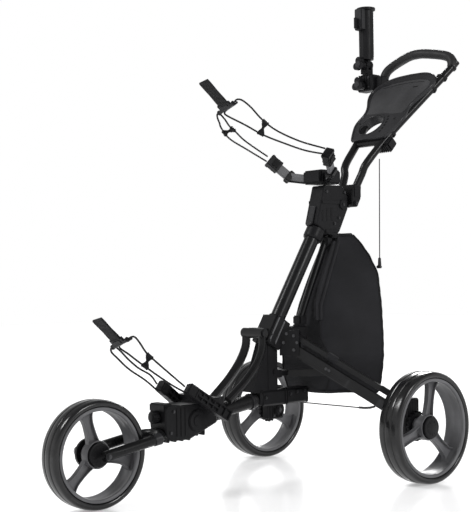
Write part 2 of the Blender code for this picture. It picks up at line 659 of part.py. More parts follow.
def umbrella_holder():
    clamp = join(block("clamp", (-0.182, 0.514, 1.038), (-0.122, 0.552, 1.085), 0.004),
                 block("wrap", (-0.130, 0.529, 1.039), (-0.099, 0.556, 1.078), 0.003))
    start, end = (handle_point(-x, along) for x, along, out in (HANDLE_LEG[1], HANDLE_BOW[0]))
    bore = rod("bore", start.lerp(end, 0.55), end, HANDLE_TUBE + 2 * GAP, sides=24)
    finish(cut(clamp, bore), "umbrella_clamp", PLASTIC, (UMBRELLA_X, UMBRELLA_Y, 1.06))

    def knob(name, x, z, y):
        stem = rod("stem", (x, y - GAP, z), (x, y - 0.012, z), 0.007, sides=16)
        lobes = []
        for angle in (90, 210, 330):
            lobe_x = x + 0.0105 * math.cos(math.radians(angle))
            lobe_z = z + 0.0105 * math.sin(math.radians(angle))
            start = (lobe_x, y - 0.010, lobe_z)
            lobes.append(rod("lobe", start, (lobe_x, y - 0.024, lobe_z), 0.011, sides=16))
        finish(join(stem, *lobes), name, PLASTIC, (x, y, z))

    knob("clamp_knob", -0.160, 1.057, 0.514)

    tilt = Vector((UMBRELLA_X, UMBRELLA_Y, TILT_Z))
    neck = rod("neck", (UMBRELLA_X, UMBRELLA_Y, 1.0853), (UMBRELLA_X, UMBRELLA_Y, 1.100), 0.0125)
    floor = block("floor", (UMBRELLA_X - 0.012, UMBRELLA_Y - 0.013, 1.092),
                  (UMBRELLA_X + 0.012, UMBRELLA_Y + 0.013, 1.1035))
    cheeks = []
    for side in (1, -1):
        near = tilt + Vector((0, side * 0.0055, 0))
        far = tilt + Vector((0, side * 0.013, 0))
        cheeks.append(rod("cheek", near, far, 0.014))
        low_y, high_y = sorted((near.y, far.y))
        cheeks.append(block("foot", (UMBRELLA_X - 0.012, low_y, 1.100), (UMBRELLA_X + 0.012, high_y, TILT_Z)))
    finish(join(neck, floor, *cheeks), "umbrella_knuckle", PLASTIC, (UMBRELLA_X, UMBRELLA_Y, 1.09))
    knob("knuckle_knob", UMBRELLA_X, TILT_Z, UMBRELLA_Y - 0.013)

    axis = Vector((UMBRELLA_X, UMBRELLA_Y, 0))
    socket = rod("socket", axis + Vector((0, 0, 1.1335)), axis + Vector((0, 0, 1.284)), 0.0205, sides=28)
    flange = rod("flange", axis + Vector((0, 0, 1.278)), axis + Vector((0, 0, 1.285)), 0.026, 0.027, 28)
    tongue = rod("tongue", tilt - Vector((0, 0.005, 0)), tilt + Vector((0, 0.005, 0)), 0.013)
    stem = block("stem", (UMBRELLA_X - 0.011, UMBRELLA_Y - 0.005, TILT_Z),
                 (UMBRELLA_X + 0.011, UMBRELLA_Y + 0.005, 1.140))
    boss_low = (UMBRELLA_X - 0.014, 0.504, 1.218)
    boss = block("boss", boss_low, (UMBRELLA_X + 0.014, UMBRELLA_Y, 1.2805), 0.002)
    bore = rod("bore", axis + Vector((0, 0, 1.148)), axis + Vector((0, 0, 1.30)), 0.0175, sides=28)
    thread_ends = [(UMBRELLA_X, y, 1.236) for y in (0.49, UMBRELLA_Y)]
    thread = rod("thread", *thread_ends, 0.0035 + GAP, sides=12)
    barrel = cut(join(socket, flange, tongue, stem, boss), bore, thread)
    finish(barrel, "umbrella_barrel", PLASTIC, tilt)

    screw = rod("screw", (UMBRELLA_X, 0.519, 1.236), (UMBRELLA_X, 0.499, 1.236), 0.0035, sides=12)
    wing = block("wing", (UMBRELLA_X - 0.003, 0.488, 1.220), (UMBRELLA_X + 0.003, 0.5015, 1.252), 0.0015)
    finish(join(screw, wing), "umbrella_wing_screw", PLASTIC, (UMBRELLA_X, 0.499, 1.236))


# ---------------------------------------------------------------- straps, cords and pouch
CORD = 0.0022

# each cord leaves a bracket arm, turns at the strap's cross bar and comes back to the same arm
LOWER_LEFT = [(0.054, -0.3145, 0.256), (0.044, -0.352, 0.289), (0.037, -0.388, 0.320), (0.033, -0.406, 0.337),
              (0.031, -0.424, 0.362), (0.0305, -0.437, 0.374), (0.0300, -0.4495, 0.3715),
              (0.0285, -0.4420, 0.3700), (0.0195, -0.4415, 0.3667), (-0.006, -0.4455, 0.357),
              (-0.015, -0.4460, 0.351), (-0.0145, -0.440, 0.344), (-0.003, -0.430, 0.334),
              (0.009, -0.408, 0.314),
              (0.024, -0.375, 0.287), (0.040, -0.340, 0.260), (0.054, -0.3145, 0.243)]
LOWER_RIGHT = [(-0.054, -0.3145, 0.256), (-0.037, -0.345, 0.279), (-0.029, -0.384, 0.298),
               (-0.023, -0.416, 0.320), (-0.025, -0.434, 0.338), (-0.0295, -0.446, 0.349),
               (-0.0298, -0.457, 0.348), (-0.0295, -0.457, 0.338), (-0.0305, -0.440, 0.323),
               (-0.034, -0.420, 0.307), (-0.038, -0.398, 0.292), (-0.045, -0.355, 0.268),
               (-0.054, -0.3145, 0.241)]
UPPER_LEFT = [(0.1075, 0.0915, 0.820), (0.085, 0.027, 0.836), (0.064, -0.030, 0.860), (0.050, -0.065, 0.886),
              (0.038, -0.090, 0.915), (0.033, -0.112, 0.930), (0.0305, -0.126, 0.932),
              (0.0300, -0.1340, 0.9265), (0.0285, -0.1260, 0.9250), (0.0194, -0.1250, 0.9217),
              (-0.0066, -0.1277, 0.9117), (-0.0155, -0.1285, 0.9055), (-0.0145, -0.122, 0.898),
              (0.014, -0.089, 0.875), (0.036, -0.050, 0.851), (0.059, 0.001, 0.831),
              (0.081, 0.048, 0.815), (0.1055, 0.0870, 0.8065)]
UPPER_RIGHT = [(-0.1075, 0.0915, 0.820), (-0.075, 0.014, 0.837), (-0.058, -0.034, 0.851),
               (-0.042, -0.073, 0.866), (-0.032, -0.101, 0.877), (-0.027, -0.119, 0.891),
               (-0.0298, -0.132, 0.903), (-0.0298, -0.140, 0.902), (-0.0295, -0.140, 0.893),
               (-0.031, -0.133, 0.882), (-0.038, -0.121, 0.870), (-0.058, -0.078, 0.849),
               (-0.080, -0.002, 0.829), (-0.1055, 0.0860, 0.8065)]


def strap(name, bar_ends, tab_ends, pivot):
    """The cross bar of a strap and its flat webbing pull tab."""
    left, right = (Vector(p) for p in bar_ends)
    bar = rod("bar", left, right, 0.0055, sides=12)
    finish(bar, name + "_strap_bar", PLASTIC, pivot)
    start, end = (Vector(p) for p in tab_ends)
    frame = frame_of(start, end - start, (right - left).cross(end - start))
    length = (end - start).length
    tab = block("tab", (0, -0.0135, -0.0035), (length, 0.0135, 0.0035), 0.001, frame)
    finish(tab, name + "_strap_tab", FABRIC, pivot)


def nearest(route, target):
    """The point of a cord's route nearest the target, and the cord's direction there."""
    index = min(range(1, len(route) - 1), key=lambda i: (route[i] - Vector(target)).length)
    return route[index], (route[index + 1] - route[index - 1]).normalized()


def clip(name, points, first_near, second_near, pivot):
    """A flat H-shaped clip that keeps the two passes of a cord apart."""
    route = smooth_route(points, 8)
    first, first_run = nearest(route, first_near)
    second, second_run = nearest(route, second_near)
    across = (first - second).normalized()
    reach = (first - second).length / 2 - CORD - 0.0038
    frame = frame_of((first + second) / 2, across, across.cross(first_run - second_run))
    outline = [(-reach, -0.007), (-reach + 0.004, -0.007), (-0.002, -0.003), (0.002, -0.003),
               (reach - 0.004, -0.007), (reach, -0.007), (reach, 0.007), (reach - 0.004, 0.007),
               (0.002, 0.003), (-0.002, 0.003), (-reach + 0.004, 0.007), (-reach, 0.007)]
    finish(flat("clip", outline, 0.005, frame), name, PLASTIC, pivot)


def straps():
    strap("lower", [(-0.026, -0.4565, 0.349), (0.026, -0.4505, 0.369)],
          [(-0.001, -0.4620, 0.3660), (0, -0.5145, 0.4141)], FRONT_HINGE)
    strap("upper", [(-0.026, -0.1380, 0.904), (0.026, -0.1340, 0.924)],
          [(-0.001, -0.1425, 0.9205), (0, -0.2062, 0.9712)], None)
    clip("lower_cord_clip", LOWER_LEFT, (0.034, -0.398, 0.329), (0.014, -0.398, 0.305), FRONT_HINGE)
    clip("upper_cord_clip_left", UPPER_LEFT, (0.0535, -0.057, 0.878), (0.034, -0.053, 0.853), None)
    clip("upper_cord_clip_right", UPPER_RIGHT, (-0.038, -0.087, 0.870), (-0.047, -0.101, 0.860), None)
    cords = {"lower_cord_left": LOWER_LEFT, "lower_cord_right": LOWER_RIGHT,
             "upper_cord_left": UPPER_LEFT, "upper_cord_right": UPPER_RIGHT}
    for name, route in cords.items():
        pivot = FRONT_HINGE if name.startswith("lower") else None
        finish(tube("cord", smooth_route(route, 3), CORD), name, ELASTIC, pivot)


def pouch():
    # level: height, front half-width and y, rear half-width and y
    levels = [(0.190, 0.060, 0.124, 0.150, 0.214), (0.207, 0.070, 0.118, 0.163, 0.220),
              (0.236, 0.082, 0.116, 0.170, 0.224), (0.272, 0.090, 0.116, 0.174, 0.227),
              (0.305, 0.088, 0.114, 0.176, 0.229),
              (0.350, 0.050, 0.120, 0.166, 0.240), (0.430, 0.033, 0.136, 0.134, 0.270),
              (0.510, 0.028, 0.174, 0.100, 0.303), (0.585, 0.022, 0.211, 0.058, 0.300),
              (0.618, 0.014, 0.232, 0.034, 0.286)]
    bm = bmesh.new()
    rings = []
    for z, front_x, front_y, rear_x, rear_y in levels:
        middle = (front_y + rear_y) / 2
        side_x = (front_x + rear_x) / 2 + 0.006
        corners = [(-front_x, front_y), (0, front_y), (front_x, front_y), (side_x, middle),
                   (rear_x, rear_y - 0.012), (rear_x * 0.6, rear_y), (-rear_x * 0.6, rear_y),
                   (-rear_x, rear_y - 0.012), (-side_x, middle)]
        rings.append([bm.verts.new((x, y, z)) for x, y in corners])
    for lower, upper in zip(rings, rings[1:]):
        for i in range(len(lower)):
            j = (i + 1) % len(lower)
            bm.faces.new((lower[i], lower[j], upper[j], upper[i]))
    bm.faces.new(list(reversed(rings[0])))
    bm.faces.new(rings[-1])
    finish(from_bmesh("pouch", bm), "storage_pouch", FABRIC)

    elastic = rod("elastic", (0.055, 0.346, 0.8135), (0.0785, 0.3155, 0.549), 0.0013, sides=10)
    finish(elastic, "pouch_elastic", ELASTIC)


wheels()
front_arm()
centre_frame()
post_hub()
upper_housing()
rear_legs()
handle()
console()
umbrella_holder()
straps()
pouch()
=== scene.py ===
"""Looks for the folding golf push cart: materials, moulded detail, soft pouch, straps, light and camera."""

import json
import math

import bmesh
import bpy
from mathutils import Matrix, Vector

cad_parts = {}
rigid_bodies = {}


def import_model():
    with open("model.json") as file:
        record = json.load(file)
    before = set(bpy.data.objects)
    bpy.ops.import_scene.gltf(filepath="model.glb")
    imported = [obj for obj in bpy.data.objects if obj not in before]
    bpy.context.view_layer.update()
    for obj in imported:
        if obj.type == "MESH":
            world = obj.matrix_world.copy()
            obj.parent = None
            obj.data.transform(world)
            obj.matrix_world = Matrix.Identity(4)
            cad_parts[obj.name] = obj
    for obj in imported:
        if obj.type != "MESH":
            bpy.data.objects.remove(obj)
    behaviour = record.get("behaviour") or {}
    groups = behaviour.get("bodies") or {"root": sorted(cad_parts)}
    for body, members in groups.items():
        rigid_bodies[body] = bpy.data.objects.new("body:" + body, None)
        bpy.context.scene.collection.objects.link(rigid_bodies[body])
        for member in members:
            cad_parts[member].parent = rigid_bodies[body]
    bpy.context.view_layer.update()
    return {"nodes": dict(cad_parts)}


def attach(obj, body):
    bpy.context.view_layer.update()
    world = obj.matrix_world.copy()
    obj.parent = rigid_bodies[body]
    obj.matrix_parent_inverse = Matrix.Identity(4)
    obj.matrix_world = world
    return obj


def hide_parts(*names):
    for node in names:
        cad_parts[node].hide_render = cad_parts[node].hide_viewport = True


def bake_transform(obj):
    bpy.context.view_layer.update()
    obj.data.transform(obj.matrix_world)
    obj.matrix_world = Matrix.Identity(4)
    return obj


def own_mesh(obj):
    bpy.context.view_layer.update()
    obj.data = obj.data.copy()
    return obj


for old in list(bpy.data.objects):
    bpy.data.objects.remove(old, do_unlink=True)
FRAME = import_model()
NODES = FRAME["nodes"]

POST_POINT = Vector((0, 0.0494, 0.4445))
POST_DIRECTION = Vector((0, 0.527, 0.85)).normalized()
POST_FRONT = Vector((0, -0.85, 0.527)).normalized()
HANDLE_ORIGIN = Vector((0, 0.298, 0.786))
HANDLE_ANGLE = math.radians(46.7)
HANDLE_UP = Vector((0, math.cos(HANDLE_ANGLE), math.sin(HANDLE_ANGLE)))
HANDLE_OUT = Vector((0, -math.sin(HANDLE_ANGLE), math.cos(HANDLE_ANGLE)))
DATUM = Vector((0, 0.02722, 0))
X, Y, Z = Vector((1, 0, 0)), Vector((0, 1, 0)), Vector((0, 0, 1))
SIDES = ((1, "left"), (-1, "right"))
# (y, z) of the front axle and of the handle's hinge
FRONT_AXLE = (-0.5246, 0.12)
HANDLE_HINGE = (0.272, 0.693)
# the left leg's pivots and the way its front faces; its link runs above it
LEG_TOP = (0.045, 0.038, 0.322)
LEG_END = (0.246, 0.182, 0.172)
LEG_FRONT = (0.5824, -0.8129, 0)
LINK_RISE = 0.035
CONSOLE_TOP = 0.0158
HANDLE_TUBE_RADIUS = 0.0105
GRIP_RADIUS = 0.0132
CORD_RADIUS = 0.0022
CABLE_RADIUS = 0.0015
ELASTIC_RADIUS = 0.0013
PIPING_RADIUS = 0.0024
# edges sharper than this many degrees are rounded
CHAMFER_ANGLE = 35
CAD_CHAMFER_ANGLE = 38
CHAMFER_SEGMENTS = 2
WELD_DISTANCE = 0.00003
# the camera as it was fitted to the photo: degrees, then the roll in radians
CAMERA_PLACE = Vector((2.1015, -1.8889, 0.5014)) + DATUM
CAMERA_AZIMUTH, CAMERA_ELEVATION = 49.8, -1.117
CAMERA_ROLL = -0.01277
CAMERA_LENS, CAMERA_SENSOR = 79.57, 36


# ---------------------------------------------------------------- materials
class Nodes:
    """A short way to write a node tree around one Principled BSDF."""

    def __init__(self, name):
        self.material = bpy.data.materials.new(name)
        self.material.use_nodes = True
        self.tree = self.material.node_tree
        self.shader = self.tree.nodes["Principled BSDF"]
        self.coordinates = self.add("ShaderNodeTexCoord").outputs["Object"]

    def add(self, kind, inputs=(), **settings):
        node = self.tree.nodes.new(kind)
        for key, value in settings.items():
            setattr(node, key, value)
        for key, value in dict(inputs).items():
            if isinstance(value, bpy.types.NodeSocket):
                self.tree.links.new(value, node.inputs[key])
            else:
                node.inputs[key].default_value = value
        return node

    def noise(self, scale, detail, roughness=0.5, stretch=None):
        source = self.coordinates
        if stretch:
            source = self.add("ShaderNodeMapping", {"Vector": source, "Scale": stretch}).outputs[0]
        return self.add("ShaderNodeTexNoise", {"Vector": source, "Scale": scale, "Detail": detail,
                                               "Roughness": roughness}).outputs["Fac"]

    def wave(self, scale, direction, distortion):
        return self.add("ShaderNodeTexWave", {"Vector": self.coordinates, "Scale": scale,
                                              "Distortion": distortion, "Detail": 0.0},
                        bands_direction=direction).outputs["Fac"]

    def spread(self, source, low, high):
        return self.add("ShaderNodeMapRange", {"Value": source, "From Min": 0.3, "From Max": 0.7,
                                               "To Min": low, "To Max": high}).outputs[0]

    def maths(self, operation, first, second):
        return self.add("ShaderNodeMath", {0: first, 1: second}, operation=operation).outputs[0]

    def tint(self, source, colour, low, high):
        """The colour, darkened and lightened by the source between two factors."""
        ramp = self.add("ShaderNodeValToRGB", {"Fac": source})
        for stop, factor, place in zip(ramp.color_ramp.elements, (low, high), (0.3, 0.7)):
            stop.position = place
            stop.color = (*(c * factor for c in colour), 1)
        self.tree.links.new(ramp.outputs[0], self.shader.inputs["Base Color"])

    def bump(self, height, strength, distance):
        node = self.add("ShaderNodeBump", {"Height": height, "Strength": strength, "Distance": distance})
        self.tree.links.new(node.outputs[0], self.shader.inputs["Normal"])

    def set(self, **values):
        for key, value in values.items():
            socket = self.shader.inputs[key.replace("_", " ")]
            if isinstance(value, bpy.types.NodeSocket):
                self.tree.links.new(value, socket)
            else:
                socket.default_value = value
        return self.material


def moulded(name, colour, roughness, grain=2600, depth=0.00012, coat=0.0):
    """Injection-moulded plastic: fine spark-eroded grain and faint flow marks."""
    n = Nodes(name)
    flow = n.noise(14, 3)
    n.tint(flow, colour, 0.82, 1.2)
    n.bump(n.noise(grain, 2, 0.6), 0.35, depth)
    return n.set(Roughness=n.spread(n.noise(45, 5), roughness - 0.06, roughness + 0.07), Coat_Weight=coat,
                 Coat_Roughness=0.25, Specular_IOR_Level=0.13)


def painted(name, colour, roughness, metallic):
    """Gloss powder coat on tube: slight orange peel, dust in the gloss."""
    n = Nodes(name)
    n.tint(n.noise(30, 6), colour, 0.85, 1.15)
    n.bump(n.noise(420, 2), 0.12, 0.0002)
    gloss = n.spread(n.noise(70, 6, 0.7), roughness - 0.05, roughness + 0.08)
    return n.set(Roughness=gloss, Metallic=metallic, Coat_Weight=0.04, Coat_Roughness=0.18,
                 Specular_IOR_Level=0.16)


def tyre_rubber():
    n = Nodes("tyre_rubber")
    n.tint(n.noise(60, 6, 0.7), (0.0075, 0.0075, 0.008), 0.7, 1.35)
    n.bump(n.noise(900, 4, 0.7), 0.2, 0.0002)
    return n.set(Roughness=n.spread(n.noise(26, 5, 0.6), 0.13, 0.26), Specular_IOR_Level=0.36)


def woven(name, colour, scale, depth, sheen):
    """Plain weave: two crossing sets of threads with worn, slightly faded areas."""
    n = Nodes(name)
    across = n.wave(scale, "Y", 1.5)
    along = n.wave(scale, "Z", 1.5)
    side = n.wave(scale, "X", 1.5)
    weave = n.maths("ADD", n.maths("MULTIPLY", across, along), n.maths("MULTIPLY", side, along))
    fade = n.noise(9, 6, 0.6)
    shade = n.maths("ADD", n.maths("MULTIPLY", weave, 0.25), n.maths("MULTIPLY", fade, 0.8))
    n.tint(shade, colour, 0.7, 1.35)
    creases = n.maths("MULTIPLY", n.noise(28, 4, 0.55), 2.5)
    n.bump(n.maths("ADD", weave, creases), 0.5, depth)
    return n.set(Roughness=0.82, Sheen_Weight=sheen, Sheen_Roughness=0.5, Specular_IOR_Level=0.25)


def webbing():
    n = Nodes("webbing")
    ribs = n.wave(260, "X", 0.6)
    picks = n.wave(330, "DIAGONAL", 0.4)
    weave = n.maths("MULTIPLY", ribs, picks)
    n.tint(weave, (0.01, 0.01, 0.011), 0.45, 1.8)
    n.bump(weave, 0.7, 0.0006)
    return n.set(Roughness=0.8, Sheen_Weight=0.08, Specular_IOR_Level=0.25)


def braided():
    n = Nodes("braided_cord")
    first = n.wave(520, "DIAGONAL", 0.5)
    second = n.wave(520, "X", 0.5)
    n.tint(n.maths("MULTIPLY", first, second), (0.007, 0.007, 0.008), 0.5, 1.9)
    n.bump(n.maths("ADD", first, second), 0.6, 0.0004)
    return n.set(Roughness=0.6, Sheen_Weight=0.04, Specular_IOR_Level=0.25)


def foam():
    n = Nodes("foam_grip")
    n.tint(n.noise(120, 8, 0.7), (0.013, 0.013, 0.0135), 0.7, 1.25)
    n.bump(n.noise(1500, 4, 0.7), 0.4, 0.0003)
    return n.set(Roughness=n.spread(n.noise(60, 4), 0.42, 0.6), Sheen_Weight=0.03, Specular_IOR_Level=0.22)


def brushed(name, colour, roughness):
    n = Nodes(name)
    streaks = n.noise(160, 6, 0.7, (1, 1, 14))
    n.tint(streaks, colour, 0.8, 1.2)
    n.bump(streaks, 0.1, 0.0001)
    return n.set(Roughness=n.spread(streaks, roughness - 0.08, roughness + 0.1), Metallic=1.0)


TYRE = tyre_rubber()
RIM = moulded("rim_plastic", (0.105, 0.105, 0.11), 0.34, 1800, 0.00008, 0.25)
BLACK = moulded("black_plastic", (0.006, 0.006, 0.0068), 0.42)
SATIN = moulded("satin_plastic", (0.016, 0.016, 0.0175), 0.36, 3000, 0.00006, 0.2)
LID = moulded("lid_plastic", (0.036, 0.036, 0.038), 0.36, 3200, 0.00005, 0.3)
# near-black soft pads; the same colour is painted shade in the housing slots and the tee holes
PAD_AND_SHADE = moulded("soft_pad_and_painted_shade", (0.006, 0.006, 0.0065), 0.62, 1400, 0.0002)
GREY = moulded("grey_plastic", (0.115, 0.115, 0.12), 0.4)
TUBE = painted("tube_paint", (0.007, 0.007, 0.0075), 0.28, 0.1)
BAR = painted("bar_paint", (0.009, 0.009, 0.0095), 0.33, 0.05)
STEEL = brushed("zinc_steel", (0.2, 0.2, 0.205), 0.34)
DARK_STEEL = brushed("dark_steel", (0.065, 0.065, 0.068), 0.38)
FABRIC = woven("pouch_fabric", (0.0105, 0.0105, 0.0125), 700, 0.0005, 0.05)
PIPING = woven("pouch_piping", (0.004, 0.004, 0.005), 900, 0.0004, 0.05)
MESH = woven("pouch_panel", (0.013, 0.013, 0.015), 520, 0.0006, 0.05)
WEBBING = webbing()
CORD = braided()
FOAM = foam()


# ---------------------------------------------------------------- geometry helpers
def frame_of(origin, x_axis, z_axis):
    """Matrix with the given origin, local X along x_axis and local Z near z_axis."""
    x = Vector(x_axis).normalized()
    y = Vector(z_axis).cross(x).normalized()
    matrix = Matrix((x, y, x.cross(y))).transposed().to_4x4()
    matrix.translation = Vector(origin)
    return matrix


def circle(radius, sides):
    """The corners of a regular polygon round the origin."""
    angles = [math.tau * i / sides for i in range(sides)]
    return [(radius * math.cos(a), radius * math.sin(a)) for a in angles]


def smooth_route(points, steps):
    """Points on a smooth curve through the given ones (Catmull-Rom), steps to each span."""
    points = [Vector(p) for p in points]
    ends = [points[0] * 2 - points[1]] + points + [points[-1] * 2 - points[-2]]
    route = []
    for a, b, c, d in zip(ends, ends[1:], ends[2:], ends[3:]):
        for i in range(steps):
            t = i / steps
            route.append(0.5 * (2 * b + (c - a) * t + (2 * a - 5 * b + 4 * c - d) * t ** 2
                                + (3 * b - a - 3 * c + d) * t ** 3))
    return route + [points[-1]]


def mirrored(side, point):
    """A point of the left side as it is, or on the right side when side is -1."""
    return Vector((side * point[0], point[1], point[2]))


def doubled(half, first=-1, second=1):
    """Half of a symmetric outline, then back along its mirror image."""
    return half + [(first * a, second * b) for a, b in reversed(half)]


def turned_frames(frame, count, phase=0):
    """The frame turned about its own Z axis to evenly spaced positions."""
    return [frame @ Matrix.Rotation(math.radians(phase + 360 * i / count), 4, "Z") for i in range(count)]


def leg_line(side, rise=0.0):
    """Upper pivot, lower pivot and front direction of a leg, or of what runs at a rise above it."""
    top, end, front = (mirrored(side, p) for p in (LEG_TOP, LEG_END, LEG_FRONT))
    return top + Z * rise, end + Z * rise, front


def skin(part, rings, closed=False):
    """Four-sided faces from each ring of vertices to the next, and from the last to the first when closed."""
    for ring, following in zip(rings, rings[1:] + (rings[:1] if closed else [])):
        for j in range(len(ring)):
            k = (j + 1) % len(ring)
            part.faces.new((ring[j], ring[k], following[k], following[j]))


def add_object(name, data):
    obj = bpy.data.objects.new(name, data)
    bpy.context.scene.collection.objects.link(obj)
    return obj


def shade(mesh, look, smooth):
    mesh.materials.append(look)
    mesh.shade_smooth()
    mesh.set_sharp_from_angle(angle=math.radians(smooth))


def weight_normals(obj):
    obj.modifiers.new("shading", "WEIGHTED_NORMAL").keep_sharp = True


class Shape:
    """Collects rounded solids in one mesh, which becomes one piece riding on a body."""

    def __init__(self):
        self.bm = bmesh.new()

    def take(self, part, matrix=None, chamfer=0.0):
        if chamfer:
            sharp = [e for e in part.edges if len(e.link_faces) == 2
                     and e.calc_face_angle() > math.radians(CHAMFER_ANGLE)]
            bmesh.ops.bevel(part, geom=sharp, offset=chamfer, segments=CHAMFER_SEGMENTS, affect="EDGES",
                            clamp_overlap=True)
        if matrix:
            bmesh.ops.transform(part, matrix=matrix, verts=part.verts)
        bmesh.ops.recalc_face_normals(part, faces=part.faces)
        mesh = bpy.data.meshes.new("part")
        part.to_mesh(mesh)
        part.free()
        self.bm.from_mesh(mesh)
        bpy.data.meshes.remove(mesh)
        return self

    def block(self, low, high, chamfer, frame=None):
        part = bmesh.new()
        bmesh.ops.create_cube(part, size=1.0)
        low, high = Vector(low), Vector(high)
        bmesh.ops.scale(part, verts=part.verts, vec=high - low)
        bmesh.ops.translate(part, verts=part.verts, vec=(low + high) / 2)
        return self.take(part, frame, chamfer)

    def rod(self, start, end, radius, end_radius=None, chamfer=0.0006, sides=40):
        start, end = Vector(start), Vector(end)
        part = bmesh.new()
        bmesh.ops.create_cone(part, cap_ends=True, segments=sides, radius1=radius,
                              radius2=radius if end_radius is None else end_radius,
                              depth=(end - start).length)
        turn = (end - start).to_track_quat("Z", "Y").to_matrix().to_4x4()
        return self.take(part, Matrix.Translation((start + end) / 2) @ turn, chamfer)

    def turned(self, profile, frame, steps):
        """A closed profile of (radius, height) points turned about the frame's Z axis."""
        part = bmesh.new()
        rings = []
        for i in range(steps):
            angle = math.tau * i / steps
            rings.append([part.verts.new((r * math.cos(angle), r * math.sin(angle), h)) for r, h in profile])
        skin(part, rings, closed=True)
        return self.take(part, frame)

    def plate(self, outline, low, high, frame, chamfer):
        """An outline of (x, y) points, from height low to high in the frame."""
        part = bmesh.new()
        face = part.faces.new([part.verts.new((x, y, low)) for x, y in outline])
        grown = bmesh.ops.extrude_face_region(part, geom=[face])
        moved = [v for v in grown["geom"] if isinstance(v, bmesh.types.BMVert)]
        bmesh.ops.translate(part, verts=moved, vec=(0, 0, high - low))
        return self.take(part, frame, chamfer)

    def sweep(self, route, section, up=Z, closed=False):
        """A cross-section of (across, up) points, or one such list per point, swept along a route."""
        route = [Vector(p) for p in route]
        part = bmesh.new()
        rings = []
        normal = Vector(up)
        for i, point in enumerate(route):
            before = route[i - 1] if i or closed else point
            after = route[(i + 1) % len(route)] if i + 1 < len(route) or closed else point
            along = (after - before).normalized()
            normal = (normal - along * normal.dot(along)).normalized()
            across = along.cross(normal)
            ring = section[i] if isinstance(section[0], list) else section
            rings.append([part.verts.new(point + across * a + normal * b) for a, b in ring])
        skin(part, rings, closed)
        if not closed:
            part.faces.new(rings[0])
            part.faces.new(list(reversed(rings[-1])))
        return self.take(part)

    def tube(self, route, radius, sides, closed=False):
        return self.sweep(route, circle(radius, sides), closed=closed)

    def bolt(self, point, direction, radius, height=0.003):
        """A round bolt head with a hexagon socket rim, standing on a surface."""
        point, direction = Vector(point), Vector(direction).normalized()
        top = point + direction * height
        self.rod(point - direction * 0.001, top, radius, radius * 0.86, 0.0008, 24)
        side = direction.orthogonal()
        ring = [(radius * 0.55, 0), (radius * 0.55, 0.0006), (radius * 0.38, 0.0006), (radius * 0.38, 0)]
        return self.turned(ring, frame_of(top, side, direction), 6)

    def bars(self, frame, *sizes):
        """Blocks centred across the frame: from x to x, half the width, from z to z, and the chamfer."""
        for x_low, x_high, half, z_low, z_high, chamfer in sizes:
            self.block((x_low, -half, z_low), (x_high, half, z_high), chamfer, frame)
        return self

    def side_block(self, low, high, chamfer):
        """The same block on both sides of the cart."""
        for side in (1, -1):
            self.block(mirrored(side, low), mirrored(side, high), chamfer)
        return self

    def side_rod(self, start, end, *sizes):
        """The same rod on both sides of the cart."""
        for side in (1, -1):
            self.rod(mirrored(side, start), mirrored(side, end), *sizes)
        return self

    def side_bolts(self, x, places, radius):
        """Outward bolts on both sides of the cart, at (y, z) places and at x from its middle."""
        for side in (1, -1):
            for y, z in places:
                self.bolt((side * x, y, z), X * side, radius)
        return self

    def done(self, name, body, look, slot, replaces=(), smooth=40):
        mesh = bpy.data.meshes.new(name)
        self.bm.to_mesh(mesh)
        self.bm.free()
        mesh.transform(Matrix.Translation(DATUM))
        obj = add_object(name, mesh)
        shade(mesh, look, smooth)
        if body:
            weight_normals(obj)
            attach(obj, body)
        if replaces:
            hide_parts(*replaces)
        return obj


def dress(look, names, bevel=0.0008):
    """Keep these CAD nodes: weld and round their faceted meshes, and give them the material."""
    for name in names.split():
        obj = NODES[name]
        obj.data.materials.clear()
        obj.data.materials.append(look)
        custom = obj.data.attributes.get("custom_normal")
        if custom:
            obj.data.attributes.remove(custom)
        obj.data.shade_smooth()
        weld = obj.modifiers.new("weld", "WELD")
        weld.merge_threshold = WELD_DISTANCE
        edge = obj.modifiers.new("edges", "BEVEL")
        edge.width = bevel
        edge.segments = CHAMFER_SEGMENTS
        edge.limit_method = "ANGLE"
        edge.angle_limit = math.radians(CAD_CHAMFER_ANGLE)
        weight_normals(obj)


def handle_point(x, along, out=0.0):
    """A point across the handle, along it from its root and out of its plane."""
    return HANDLE_ORIGIN + X * x + HANDLE_UP * along + HANDLE_OUT * out


